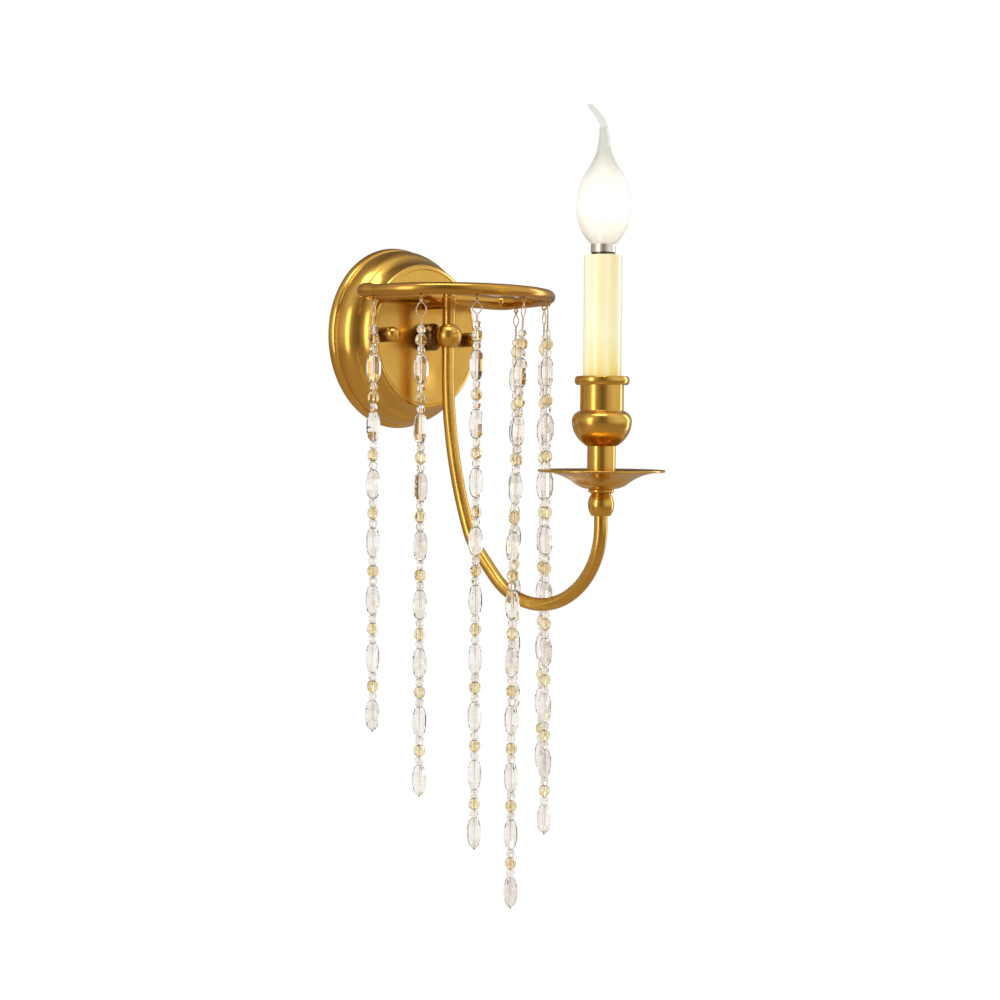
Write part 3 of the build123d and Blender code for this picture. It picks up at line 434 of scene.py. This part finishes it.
def filament_material():
    """The lit filament: white-hot at its top, dull down its supports."""
    material, tree, shader = new_material("glowing_filament")
    place = object_place(tree, (0, CANDLE_Y, GLASS_LOW.z))
    split = add_node(tree, "ShaderNodeSeparateXYZ", {0: place})
    height = math_node(tree, "MULTIPLY", split.outputs["Z"], 1.0 / FILAMENT_HEIGHT)
    glow = ramp(tree, height, (0.0, (0.1, 0.05, 0.02)), (0.8, (0.4, 0.2, 0.08)), (0.86, (1.0, 0.86, 0.6)))
    tree.links.new(glow, shader.inputs["Emission Color"])
    shader.inputs["Emission Strength"].default_value = 12.0
    grain = add_node(tree, "ShaderNodeTexNoise", {"Vector": place, "Scale": 3000.0})
    tone = ramp(tree, grain.outputs["Fac"], (0.3, 0.25), (0.7, 0.5))
    tree.links.new(tone, shader.inputs["Base Color"])
    shader.inputs["Metallic"].default_value = 1.0
    return material


FINISHES = {
    "canopy": brass_wall, "neck_coupling": brass_neck, "canopy_nut_left": brass_nut,
    "canopy_nut_right": brass_nut, "hub_ball": brass_hub, "crown_post": brass_rod,
    "crown_collar": brass_rod, "crown_nut": brass_rod, "ring_bridge": brass_rod, "crown_ring": brass_rod,
    "ring_eyes": brass_rod, "arm_tube": brass_arm, "knuckle": brass_candle, "pan_washer": brass_candle,
    "drip_pan": brass_candle, "stem_tube": brass_candle, "candle_cup": brass_candle,
    "wall_bracket": steel, "bracket_studs": steel, "stud_nuts": steel, "ground_screw": green_steel,
    "lock_washer": steel, "lock_nut": steel, "hub_nipple": steel, "candle_nipple": steel,
    "cup_nut": steel, "holder_post": steel, "holder_body": black_plastic, "screw_shell": bright_brass,
    "centre_contact": bright_brass, "candle_sleeve": sleeve_plastic(), "lamp_cap": nickel,
    "lamp_insulator": black_glass, "lamp_contact": solder, "lamp_glass": bulb_glass(),
    "lamp_mount": mount_glass(), "lamp_filament": filament_material(), "lamp_wires": wire_sheath,
    "wire_connectors": connector_plastic,
}


def finish_node(name, material):
    """Give a carried-over CAD piece its material."""
    data = NODES[name].data
    if not data.materials:
        data.materials.append(material)
    for number in range(len(data.materials)):
        data.materials[number] = material


for node_name, node_material in FINISHES.items():
    finish_node(node_name, node_material)


# ---- turned pieces, made anew from the outlines of the CAD pieces -----------------------------------

CORNER = math.radians(24)  # a sharper turn of the outline is an edge, not a curve
STRAIGHT = math.radians(0.4)
EDGE_BREAK = 0.25 * MM
EDGE_SHARE = 0.3  # the most of a short side that a broken edge may take
SPIN_STEPS = 160
TOUCHING = 2e-6


def half_section(node, to_axis):
    """The cut of a turned piece by the half plane X > 0 from its axis Z: runs of (radius, height)."""
    mesh = bmesh.new()
    mesh.from_mesh(NODES[node].data)
    mesh.transform(to_axis @ NODES[node].matrix_world)
    bmesh.ops.remove_doubles(mesh, verts=mesh.verts, dist=TOUCHING)
    for normal, both_sides in (((0, 1, 0), True), ((1, 0, 0), False)):
        bmesh.ops.bisect_plane(mesh, geom=mesh.verts[:] + mesh.edges[:] + mesh.faces[:], dist=1e-7,
                               plane_co=(0, 0, 0), plane_no=normal, clear_inner=True, clear_outer=both_sides)
    for loose in [vert for vert in mesh.verts if not vert.link_edges]:
        mesh.verts.remove(loose)
    waiting = set(mesh.verts)
    runs = []
    while waiting:
        ends = [vert for vert in waiting if len(vert.link_edges) == 1]
        vert = ends[0] if ends else next(iter(waiting))
        run = []
        while vert is not None:
            waiting.discard(vert)
            run.append(Vector((abs(vert.co.x), vert.co.z)))
            around = [edge.other_vert(vert) for edge in vert.link_edges]
            vert = next((other for other in around if other in waiting), None)
        runs.append((run, not ends))
    mesh.free()
    return runs


def without_straight_points(run, closed):
    """Drops the points that lie on a straight line between their neighbours."""
    kept = []
    for number, point in enumerate(run):
        before, after = run[number - 1], run[(number + 1) % len(run)]
        at_end = not closed and number in (0, len(run) - 1)
        if at_end or abs((point - before).angle_signed(after - point, 0.0)) > STRAIGHT:
            kept.append(point)
    return kept


def finer(run, closed):
    """The outline with its curves drawn more finely and its corners broken by a small radius."""
    count = len(run)
    ahead = [run[(number + 1) % count] - run[number] for number in range(count)]
    tangents = []
    for number in range(count):
        here, back = ahead[number], ahead[number - 1]
        at_end = not closed and number in (0, count - 1)
        corner = at_end or abs(back.angle_signed(here, 0.0)) > CORNER
        tangents.append(None if corner else (back + here).normalized())
    fine = []
    for number in range(count):
        point, step, back = run[number], ahead[number], ahead[number - 1]
        at_end = not closed and number in (0, count - 1)
        if at_end or tangents[number] is not None:
            fine.append(point)
        else:
            cut = min(EDGE_BREAK, EDGE_SHARE * back.length, EDGE_SHARE * step.length)
            start, end = point - back.normalized() * cut, point + step.normalized() * cut
            fine.append(point - back.normalized() * cut * 1.5)
            for share in (0.0, 0.25, 0.5, 0.75, 1.0):
                fine.append(start.lerp(point, share).lerp(point.lerp(end, share), share))
            fine.append(point + step.normalized() * cut * 1.5)
        after = (number + 1) % count
        if not closed and number == count - 1:
            break
        if tangents[number] is not None and tangents[after] is not None:
            leave, arrive = tangents[number] * step.length, tangents[after] * step.length
            for share in (0.25, 0.5, 0.75):
                blend = share * share * (3 - 2 * share)
                bow = leave * (share * (1 - share) ** 2) - arrive * (share * share * (1 - share))
                fine.append(point.lerp(run[after], blend) + bow)
    return fine


def declare(piece, body, node):
    """Makes a piece move with a body, and hides the CAD piece that it stands for."""
    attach(piece, body)
    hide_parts(node)


def turned_piece(node, body, to_axis):
    """A smooth turned piece in place of a CAD piece: the same outline, spun finely about its axis."""
    mesh = bmesh.new()
    for run, closed in half_section(node, to_axis):
        outline = finer(without_straight_points(run, closed), closed)
        rings = []
        for radius, height in outline:
            if radius < TOUCHING / 2:
                rings.append([mesh.verts.new((0, 0, height))] * SPIN_STEPS)
            else:
                rings.append([mesh.verts.new((radius * math.cos(angle), radius * math.sin(angle), height))
                              for angle in (2 * math.pi * step / SPIN_STEPS for step in range(SPIN_STEPS))])
        pairs = list(zip(rings, rings[1:])) + ([(rings[-1], rings[0])] if closed else [])
        for low, high in pairs:
            for step in range(SPIN_STEPS):
                after = (step + 1) % SPIN_STEPS
                corners = []
                for vert in (low[step], low[after], high[after], high[step]):
                    if vert not in corners:
                        corners.append(vert)
                mesh.faces.new(corners)
    bmesh.ops.recalc_face_normals(mesh, faces=mesh.faces)
    mesh.transform(to_axis.inverted())
    data = bpy.data.meshes.new(node + "_turned")
    mesh.to_mesh(data)
    mesh.free()
    data.materials.append(FINISHES[node])
    data.shade_smooth()
    piece = bpy.data.objects.new(node + "_turned", data)
    bpy.context.scene.collection.objects.link(piece)
    declare(piece, body, node)


def axis_frame(place, out_of_wall=False, quarter=0):
    """Moves a piece so that the axis it was turned on is Z, and its cut is clear of cross holes."""
    lie = Matrix.Rotation(math.radians(-90), 4, "X") if out_of_wall else Matrix.Identity(4)
    return Matrix.Rotation(math.radians(90 * quarter), 4, "Z") @ lie @ Matrix.Translation(-Vector(place))


def box_middle(node):
    """The middle of a CAD piece's box."""
    low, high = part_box(node)
    return (Vector(low) + Vector(high)) / 2


hub_frame, candle_frame = axis_frame(HUB_AXIS), axis_frame(CANDLE_AXIS)
turned_piece("canopy", "frame", axis_frame((0, 0, 0), True, 1))
turned_piece("neck_coupling", "frame", axis_frame((0, 0, 0), True))
for side in ("left", "right"):
    nut = f"canopy_nut_{side}"
    turned_piece(nut, f"nut_{side}", axis_frame((box_middle(nut).x, 0, 0), True))
for hub_node in ("hub_ball", "crown_post", "crown_collar", "crown_nut"):
    turned_piece(hub_node, "frame", hub_frame)
for candle_node in ("knuckle", "pan_washer", "drip_pan", "stem_tube", "candle_cup"):
    turned_piece(candle_node, "frame", candle_frame)
turned_piece("candle_sleeve", "sleeve", candle_frame)
turned_piece("holder_body", "frame", candle_frame)


# ---- bead strings -------------------------------------------------------------------------------

STRING_COUNT = 7
SMALL_LENGTH, SMALL_RADIUS = 5.8 * MM, 2.9 * MM
CHAMPAGNE_LENGTH, CHAMPAGNE_RADIUS = 7.9 * MM, 3.95 * MM
OVAL_LENGTH, OVAL_RADIUS = 20.0 * MM, 5.0 * MM
BEAD_GAP = 0.125 * MM
PITCH = 2 * SMALL_LENGTH + CHAMPAGNE_LENGTH + OVAL_LENGTH + 4 * BEAD_GAP
BORE_RADIUS = 0.55 * MM
EYE_RADIUS = 1.6 * MM
WIRE_RADIUS = 0.4 * MM
STRAND_OFFSET = 0.36 * MM  # of each strand from the middle of the twist
HOOK_RADIUS = 0.95 * MM  # of the wire's bend over the eye
LOOP_SWAY = 0.25 * MM  # how far the loop is bent out of its plane
TWIST_STEPS, LOOP_STEPS, HOOK_STEPS = 14, 9, 8
WIRE_END = 1.1 * MM  # below the last bead
CRIMP_RADIUS, CRIMP_HALF_LENGTH = 0.7 * MM, 0.45 * MM
LEANING_STRING = 4  # the one that hangs beside the arm
LEAN_SIDE = 9.9 * MM  # how far aside it has come at its kink
LEAN_REPEATS = 4  # the repeats above its kink
SEED_STEP = 31
# Each string's own loop: how far it drops below the eye, its width, and the turns of its twist.
WIRE_LOOPS = {1: (11.5, 3.0, 2), 2: (12.5, 6.6, 1), 3: (9.5, 6.4, 3), 4: (10.5, 4.4, 2), 5: (11.0, 4.8, 2),
              6: (11.5, 5.2, 2), 7: (10.5, 4.0, 2)}


def cut_bead(name, length, rows, sides):
    """A faceted bead along Z with a drilled bore. A row is (share of the half length, radius, half turns)."""
    mesh = bmesh.new()

    def ring(radius, height, half_turns):
        angles = [math.pi * (2 * side + half_turns) / sides for side in range(sides)]
        return [mesh.verts.new((radius * math.cos(angle), radius * math.sin(angle), height))
                for angle in angles]

    rings = [(ring(radius, share * length / 2, half_turns), half_turns) for share, radius, half_turns in rows]
    for (low, low_turn), (high, high_turn) in zip(rings, rings[1:]):
        for side in range(sides):
            after = (side + 1) % sides
            if low_turn == high_turn:
                mesh.faces.new((low[side], low[after], high[after], high[side]))
            else:
                shift = 1 if low_turn else 0
                near, far = high[(side + shift) % sides], high[(after + shift) % sides]
                mesh.faces.new((low[side], low[after], near))
                mesh.faces.new((near, low[after], far))
    first, last = rings[0], rings[-1]
    bore_low = ring(BORE_RADIUS, -length / 2, first[1])
    bore_high = ring(BORE_RADIUS, length / 2, last[1])
    for side in range(sides):
        after = (side + 1) % sides
        mesh.faces.new((first[0][after], first[0][side], bore_low[side], bore_low[after]))
        mesh.faces.new((last[0][side], last[0][after], bore_high[after], bore_high[side]))
        mesh.faces.new((bore_low[after], bore_low[side], bore_high[side], bore_high[after]))
    bmesh.ops.recalc_face_normals(mesh, faces=mesh.faces)
    data = bpy.data.meshes.new(name)
    mesh.to_mesh(data)
    mesh.free()
    return bpy.data.objects.new(name, data)


def round_rows(radius):
    """Rows of a round bead: a table at each end, a sloping row, and a broad one round the middle."""
    return [(-1.0, radius * 0.46, 0), (-0.72, radius * 0.80, 1), (-0.28, radius * 0.99, 1),
            (0.28, radius * 0.99, 1), (0.72, radius * 0.80, 1), (1.0, radius * 0.46, 0)]


def oval_rows(radius):
    """Rows of an oval bead, whose long facets run up and down."""
    return [(-1.0, radius * 0.44, 0), (-0.80, radius * 0.74, 1), (-0.36, radius * 0.97, 1),
            (0.0, radius, 1), (0.36, radius * 0.97, 1), (0.80, radius * 0.74, 1), (1.0, radius * 0.44, 0)]


small_bead = cut_bead("small_bead", SMALL_LENGTH, round_rows(SMALL_RADIUS), 8)
champagne_bead = cut_bead("champagne_bead", CHAMPAGNE_LENGTH, round_rows(CHAMPAGNE_RADIUS), 9)
oval_bead = cut_bead("oval_bead", OVAL_LENGTH, oval_rows(OVAL_RADIUS), 8)


def strung_beads_tree():
    """Threads beads on the curve that goes in: a first bead, a pitch, and one or two beads a pitch."""
    tree = bpy.data.node_groups.new("strung_beads", "GeometryNodeTree")
    face = tree.interface
    face.new_socket("Geometry", in_out="INPUT", socket_type="NodeSocketGeometry")
    for label, kind in (("Bead", "NodeSocketObject"), ("Count", "NodeSocketInt"),
                        ("First", "NodeSocketFloat"), ("Pitch", "NodeSocketFloat"),
                        ("Beads a Pitch", "NodeSocketInt"),
                        ("Second Bead", "NodeSocketFloat"), ("Seed", "NodeSocketInt"),
                        ("Material", "NodeSocketMaterial")):
        face.new_socket(label, in_out="INPUT", socket_type=kind)
    face.new_socket("Geometry", in_out="OUTPUT", socket_type="NodeSocketGeometry")
    source = tree.nodes.new("NodeGroupInput").outputs
    sink = tree.nodes.new("NodeGroupOutput")
    index = tree.nodes.new("GeometryNodeInputIndex").outputs[0]
    repeat = math_node(tree, "FLOOR", math_node(tree, "DIVIDE", index, source["Beads a Pitch"]))
    place_in_pitch = math_node(tree, "FLOORED_MODULO", index, source["Beads a Pitch"])
    depth = math_node(tree, "MULTIPLY_ADD", repeat, source["Pitch"], source["First"])
    depth = math_node(tree, "MULTIPLY_ADD", place_in_pitch, source["Second Bead"], depth)
    points = add_node(tree, "GeometryNodeMeshLine", {"Count": source["Count"]}, mode="OFFSET")
    sample = add_node(tree, "GeometryNodeSampleCurve", {"Curves": source["Geometry"], "Length": depth},
                      mode="LENGTH")
    placed = add_node(tree, "GeometryNodeSetPosition", {"Geometry": points.outputs["Mesh"],
                                                        "Position": sample.outputs["Position"]})
    bead = add_node(tree, "GeometryNodeObjectInfo", {"Object": source["Bead"]}, transform_space="ORIGINAL")
    along = add_node(tree, "FunctionNodeAlignRotationToVector", {"Vector": sample.outputs["Tangent"]},
                     axis="Z")
    chance = add_node(tree, "FunctionNodeRandomValue", {"Max": 2 * math.pi, "ID": index,
                                                        "Seed": source["Seed"]}, data_type="FLOAT")
    spin = add_node(tree, "FunctionNodeAxisAngleToRotation", {"Axis": (0, 0, 1), "Angle": chance.outputs[1]})
    turned = add_node(tree, "FunctionNodeRotateRotation", {"Rotation": along.outputs[0],
                                                           "Rotate By": spin.outputs[0]},
                      rotation_space="LOCAL")
    copies = add_node(tree, "GeometryNodeInstanceOnPoints", {"Points": placed.outputs[0],
                                                             "Instance": bead.outputs["Geometry"],
                                                             "Rotation": turned.outputs[0]})
    real = add_node(tree, "GeometryNodeRealizeInstances", {"Geometry": copies.outputs[0]})
    dressed = add_node(tree, "GeometryNodeSetMaterial", {"Geometry": real.outputs[0],
                                                         "Material": source["Material"]})
    tree.links.new(dressed.outputs[0], sink.inputs["Geometry"])
    return tree


STRUNG_BEADS = strung_beads_tree()


def straight_mesh(name, modified):
    """The evaluated object as a plain mesh object of its own."""
    graph = bpy.context.evaluated_depsgraph_get()
    data = bpy.data.meshes.new_from_object(modified.evaluated_get(graph))
    data.name = name
    piece = bpy.data.objects.new(name, data)
    bpy.context.scene.collection.objects.link(piece)
    return piece


def polyline_curve(name, points, bevel=0.0, sides=4, shares=None):
    """A curve through points, bare or as a round tube. Shares of its radius also close it to a ring."""
    curve = bpy.data.curves.new(name, "CURVE")
    curve.dimensions = "3D"
    curve.bevel_depth = bevel
    curve.bevel_resolution = sides
    curve.use_fill_caps = bevel > 0
    spline = curve.splines.new("POLY")
    spline.points.add(len(points) - 1)
    for point, place in zip(spline.points, points):
        point.co = (*place, 1.0)
    if shares:
        spline.use_cyclic_u = True
        for point, share in zip(spline.points, shares):
            point.radius = share
    return bpy.data.objects.new(name, curve)


def string_frame(number):
    """Hook of a string: X outwards from the post, Y along the ring, Z up, the origin on the eye's wire."""
    joint = HINGES[f"string_{number}"]
    eye = Vector(joint["pos_m"])
    along = -Vector(joint["axis"]).normalized()
    outward = along.cross(Vector((0, 0, 1)))
    turn = Matrix((outward, along, Vector((0, 0, 1)))).transposed().to_4x4()
    return Matrix.Translation(eye - Vector((0, 0, EYE_RADIUS))) @ turn


def string_path(number, first_top, length):
    """Points of the wire's line in the hook's frame: straight down, or first leaning beside the arm."""
    hook_z = string_frame(number).translation.z
    start = hook_z - first_top
    if number != LEANING_STRING:
        return [Vector((0, 0, -start)), Vector((0, 0, -start - length))], 0.0
    kink = start + LEAN_REPEATS * PITCH - BEAD_GAP / 2
    lean = math.asin(LEAN_SIDE / kink)
    direction = Vector((0, -math.sin(lean), -math.cos(lean)))
    corner = direction * kink
    rest = length - (kink - start)
    return [direction * start, corner, corner + Vector((0, 0, -rest))], lean


def thread(number, label, path, bead, count, first, material, replaced, beads_a_pitch=1, second=0.0):
    """One kind of bead of one string, as a plain mesh that rides on the string's body."""
    name = f"string_{number}_{label}"
    carrier = polyline_curve(name + "_line", path)
    bpy.context.scene.collection.objects.link(carrier)
    modifier = carrier.modifiers.new("beads", "NODES")
    modifier.node_group = STRUNG_BEADS
    values = {"Bead": bead, "Count": count, "First": first, "Pitch": PITCH, "Beads a Pitch": beads_a_pitch,
              "Second Bead": second, "Seed": SEED_STEP * number + len(label), "Material": material}
    for item in STRUNG_BEADS.interface.items_tree:
        if item.in_out == "INPUT" and item.name in values:
            modifier[item.identifier] = values[item.name]
    piece = straight_mesh(name, carrier)
    bpy.data.objects.remove(carrier)
    declare(piece, f"string_{number}", replaced)


def wire_points(top_depth, drop, width, turns):
    """The wire's own line in the hook's frame: up in a twist, round the eye's wire, and down again."""
    steps = TWIST_STEPS * turns
    up = []
    for step in range(steps + 1):
        share = step / steps
        angle = 2 * math.pi * turns * share
        height = -top_depth + (top_depth - drop) * share
        up.append(Vector((STRAND_OFFSET * math.sin(angle), -STRAND_OFFSET * math.cos(angle), height)))
    for step in range(1, LOOP_STEPS):
        share = step / LOOP_STEPS
        # The loop is a full bow that is widest a little below its middle and comes in before the hook.
        bow = math.sin(math.pi * min(1.0, share * 1.15)) ** 0.8
        side = -width / 2 * bow - STRAND_OFFSET * (1 - share)
        up.append(Vector((LOOP_SWAY * math.sin(3 * share), side, -drop * (1 - share))))
    arch = []
    for step in range(HOOK_STEPS + 1):
        angle = math.pi * step / HOOK_STEPS
        arch.append(Vector((0, -HOOK_RADIUS * math.cos(angle), HOOK_RADIUS * math.sin(angle))))
    down = [Vector((-point.x, -point.y, point.z)) for point in reversed(up)]
    return up + arch + down


def without_corners(points):
    """The same line with its corners cut, and both ends kept."""
    cut = [points[0]]
    for here, there in zip(points, points[1:]):
        cut += [here.lerp(there, 0.25), here.lerp(there, 0.75)]
    return cut + [points[-1]]


def join(name, objects):
    """Several mesh objects as one."""
    mesh = bmesh.new()
    materials = []
    for piece in objects:
        start = len(mesh.faces)
        mesh.from_mesh(piece.data)
        mesh.faces.ensure_lookup_table()
        for face in mesh.faces[start:]:
            material = piece.data.materials[face.material_index]
            if material not in materials:
                materials.append(material)
            face.material_index = materials.index(material)
    data = bpy.data.meshes.new(name)
    mesh.to_mesh(data)
    mesh.free()
    for material in materials:
        data.materials.append(material)
    for piece in objects:
        bpy.data.objects.remove(piece)
    piece = bpy.data.objects.new(name, data)
    bpy.context.scene.collection.objects.link(piece)
    return piece


def tube_piece(name, points, radius, material, sides=3, shares=None):
    """A round tube along points. Shares of the radius, one a point, also close it to a ring."""
    curve = polyline_curve(name, points, radius, sides, shares)
    curve.data.materials.append(material)
    bpy.context.scene.collection.objects.link(curve)
    piece = straight_mesh(name + "_mesh", curve)
    bpy.data.objects.remove(curve)
    piece.data.shade_smooth()
    return piece


def dress_string(number):
    """All of one string: small and oval clear beads, champagne beads, and its wire."""
    low, high = (Vector(corner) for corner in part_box(f"string_{number}_clear_beads"))
    hook = string_frame(number)
    repeats = round((high.z - low.z) / PITCH)
    length = repeats * PITCH
    local_path, lean = string_path(number, high.z, length)
    path = [hook @ point for point in local_path]
    clear_node = f"string_{number}_clear_beads"
    first_champagne = SMALL_LENGTH + BEAD_GAP + CHAMPAGNE_LENGTH / 2
    second_small = SMALL_LENGTH + CHAMPAGNE_LENGTH + 2 * BEAD_GAP
    first_oval = second_small + SMALL_LENGTH + BEAD_GAP + OVAL_LENGTH / 2
    thread(number, "small_beads", path, small_bead, 2 * repeats, SMALL_LENGTH / 2, clear_crystal, clear_node,
           beads_a_pitch=2, second=second_small)
    thread(number, "oval_beads", path, oval_bead, repeats, first_oval, clear_crystal, clear_node)
    thread(number, "champagne_beads", path, champagne_bead, repeats, first_champagne, champagne_crystal,
           f"string_{number}_champagne_beads")
    drop, width, turns = WIRE_LOOPS[number]
    loop = wire_points(hook.translation.z - high.z, drop * MM, width * MM, turns)
    tilt = hook @ Matrix.Rotation(-lean, 4, "X")
    loop = [tilt @ point for point in without_corners(loop)]
    end = path[-1] + Vector((0, 0, -WIRE_END))
    crimp = [end + Vector((0, 0, height)) for height in (CRIMP_HALF_LENGTH, -CRIMP_HALF_LENGTH)]
    wires = [tube_piece(f"string_{number}_loop", loop, WIRE_RADIUS, copper),
             tube_piece(f"string_{number}_core", path + [end], WIRE_RADIUS, core_wire),
             tube_piece(f"string_{number}_crimp", crimp, CRIMP_RADIUS, copper)]
    wire = join(f"string_{number}_twisted_wire", wires)
    declare(wire, f"string_{number}", f"string_{number}_wire")


for string_number in range(1, STRING_COUNT + 1):
    dress_string(string_number)
for bead_pattern in (small_bead, champagne_bead, oval_bead):
    bpy.data.objects.remove(bead_pattern)


# ---- crown ring ---------------------------------------------------------------------------------

RING_SLIM, RING_THICK = 4.2 * MM, 5.2 * MM
RING_BEND = 9.0 * MM
BAR_RISE = 0.5 * MM
ARC_STEPS, LEG_STEPS, BEND_STEPS = 120, 8, 16


def dress_crown_ring():
    """The half circle, the legs that swell to the bar's thickness, the bends and the straight bar."""
    low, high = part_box("crown_ring")
    radius = HUB_Y - low[1] - RING_SLIM
    bar_y, bar_z = high[1] - RING_THICK, high[2] - RING_THICK
    ring_z, bend_y = bar_z - BAR_RISE, bar_y - RING_BEND
    points, shares = [], []
    for step in range(ARC_STEPS + 1):
        angle = math.pi * step / ARC_STEPS
        points.append((-radius * math.cos(angle), HUB_Y - radius * math.sin(angle), ring_z))
        shares.append(1.0)
    swell = RING_THICK / RING_SLIM
    right, right_shares = [], []
    for step in range(1, LEG_STEPS + 1):
        share = step / LEG_STEPS
        right.append((radius, HUB_Y + (bend_y - HUB_Y) * share, ring_z + BAR_RISE * share))
        right_shares.append(1.0 + (swell - 1.0) * share)
    for step in range(1, BEND_STEPS + 1):
        angle = math.pi / 2 * step / BEND_STEPS
        inwards, backwards = RING_BEND * (1 - math.cos(angle)), RING_BEND * math.sin(angle)
        right.append((radius - inwards, bend_y + backwards, bar_z))
        right_shares.append(swell)
    left = [(-x, y, z) for x, y, z in reversed(right)]
    points += right + left
    shares += right_shares + right_shares[::-1]
    ring = tube_piece("crown_ring_tube", points, RING_SLIM, brass_rod, 10, shares)
    declare(ring, "frame", "crown_ring")


dress_crown_ring()


# ---- floor, light and background ----------------------------------------------------------------

OBJECT_MIDDLE = Vector((0, -0.1, -0.05))
FLOOR_REACH, FLOOR_LEVEL = 3.0, -0.62
FLOOR_PAINT = (0.8, 0.8, 0.8, 1)
FLOOR_IN_METAL = (0.55, 0.44, 0.34, 1)
FLOOR_THROUGH_GLASS = 0.9  # how much of its white the floor keeps, seen through glass
ROOM_LIGHT = (0.62, 0.62, 0.62, 1)
ROOM_THROUGH_GLASS = (1, 0.99, 0.97, 1)
CLEARNESS = 0.93  # how far the room gives way to that tone, seen through glass


def add_floor():
    """A pale floor, white to the camera, that metal shows in a warmer and darker tone."""
    mesh = bpy.data.meshes.new("floor")
    corners = [(x * FLOOR_REACH, y * FLOOR_REACH, FLOOR_LEVEL)
               for x, y in ((-1, -1), (1, -1), (1, 1), (-1, 1))]
    mesh.from_pydata(corners, [], [(0, 1, 2, 3)])
    floor = bpy.data.objects.new("floor", mesh)
    bpy.context.scene.collection.objects.link(floor)
    material = bpy.data.materials.new("pale_floor")
    material.use_nodes = True
    tree = material.node_tree
    tree.nodes.clear()
    path = tree.nodes.new("ShaderNodeLightPath").outputs
    tone = mix_colours(tree, path["Is Glossy Ray"], FLOOR_PAINT, FLOOR_IN_METAL)
    paint = add_node(tree, "ShaderNodeBsdfDiffuse", {"Color": tone})
    white = add_node(tree, "ShaderNodeEmission", {"Color": WHITE, "Strength": 1.0})
    through_glass = math_node(tree, "MULTIPLY", path["Is Transmission Ray"], FLOOR_THROUGH_GLASS)
    seen_white = math_node(tree, "MAXIMUM", path["Is Camera Ray"], through_glass)
    mix = add_node(tree, "ShaderNodeMixShader", {"Fac": seen_white, 1: paint.outputs[0], 2: white.outputs[0]})
    output = tree.nodes.new("ShaderNodeOutputMaterial")
    tree.links.new(mix.outputs[0], output.inputs["Surface"])
    mesh.materials.append(material)


def from_camera(angle, height, distance):
    """A place round the object, by its angle to the right of the camera, in degrees, seen from above."""
    back = math.radians(angle)
    towards = Vector((math.sin(VIEW_YAW), -math.cos(VIEW_YAW), 0))
    right = Vector((math.cos(VIEW_YAW), math.sin(VIEW_YAW), 0))
    around = (towards * math.cos(back) + right * math.sin(back)) * distance
    return around + Vector((0, OBJECT_MIDDLE.y, height))


def add_softbox(name, angle, height, distance, width, tall, power):
    """A rectangular area light that faces the object and isn't seen itself."""
    data = bpy.data.lights.new(name, "AREA")
    data.shape = "RECTANGLE"
    data.size = width
    data.size_y = tall
    data.energy = power
    lamp = bpy.data.objects.new(name, data)
    lamp.location = from_camera(angle, height, distance)
    aim = OBJECT_MIDDLE - lamp.location
    lamp.rotation_euler = aim.to_track_quat("-Z", "Y").to_euler()
    lamp.visible_camera = False
    bpy.context.scene.collection.objects.link(lamp)


def add_world():
    """White where the camera looks, and round it the studio that metal and glass show: dim behind the
    wall and in front, a broad pale wall on the right, a soft ceiling and a dark floor."""
    world = bpy.data.worlds.new("studio")
    bpy.context.scene.world = world
    world.use_nodes = True
    tree = world.node_tree
    tree.nodes.clear()
    path = tree.nodes.new("ShaderNodeLightPath").outputs
    direction = tree.nodes.new("ShaderNodeTexCoord").outputs["Generated"]
    turned = add_node(tree, "ShaderNodeMapping", {"Vector": direction, "Rotation": (0, 0, -VIEW_YAW)})
    split = add_node(tree, "ShaderNodeSeparateXYZ", {0: turned.outputs[0]})
    backwards = math_node(tree, "MULTIPLY", split.outputs["Y"], -1.0)
    angle = math_node(tree, "ARCTAN2", split.outputs["X"], backwards)
    share = math_node(tree, "MULTIPLY_ADD", angle, 0.5 / math.pi, 0.5)
    stops = [(-180, 0.16), (-126, 0.40), (-96, 0.50), (-66, 0.80), (-30, 0.55), (-3, 0.18), (14, 0.30),
             (31, 0.72), (60, 0.98), (88, 0.95), (125, 0.62), (180, 0.16)]
    # The dimmer a stretch of the room is, the warmer it is.
    walls = ramp(tree, share, *[((degrees + 180) / 360, (level, level ** 1.16, level ** 1.35))
                                for degrees, level in stops])
    height = math_node(tree, "MULTIPLY_ADD", split.outputs["Z"], 0.5, 0.5)
    up = ramp(tree, height, (0.0, 0.10), (0.30, 0.22), (0.46, 0.80), (0.56, 1.0), (0.72, 0.85), (0.86, 1.0),
              (1.0, 1.0))
    room = mix_colours(tree, 1.0, walls, up, "MULTIPLY")
    through = mix_colours(tree, CLEARNESS, room, ROOM_THROUGH_GLASS)
    seen = mix_colours(tree, path["Is Transmission Ray"], room, through)
    seen = mix_colours(tree, path["Is Camera Ray"], seen, WHITE)
    plain = mix_colours(tree, path["Is Diffuse Ray"], seen, ROOM_LIGHT)
    shell = add_node(tree, "ShaderNodeBackground", {"Color": plain, "Strength": 1.0})
    output = tree.nodes.new("ShaderNodeOutputWorld")
    tree.links.new(shell.outputs[0], output.inputs["Surface"])


add_world()
add_floor()
add_softbox("key_softbox", angle=-46, height=0.2, distance=1.5, width=0.45, tall=1.3, power=4.5)
add_softbox("side_softbox", angle=117, height=0.15, distance=1.4, width=0.3, tall=1.4, power=4.0)
add_softbox("top_softbox", angle=-10, height=1.4, distance=0.5, width=0.9, tall=0.5, power=6.0)
bpy.context.scene.view_settings.view_transform = "Standard"
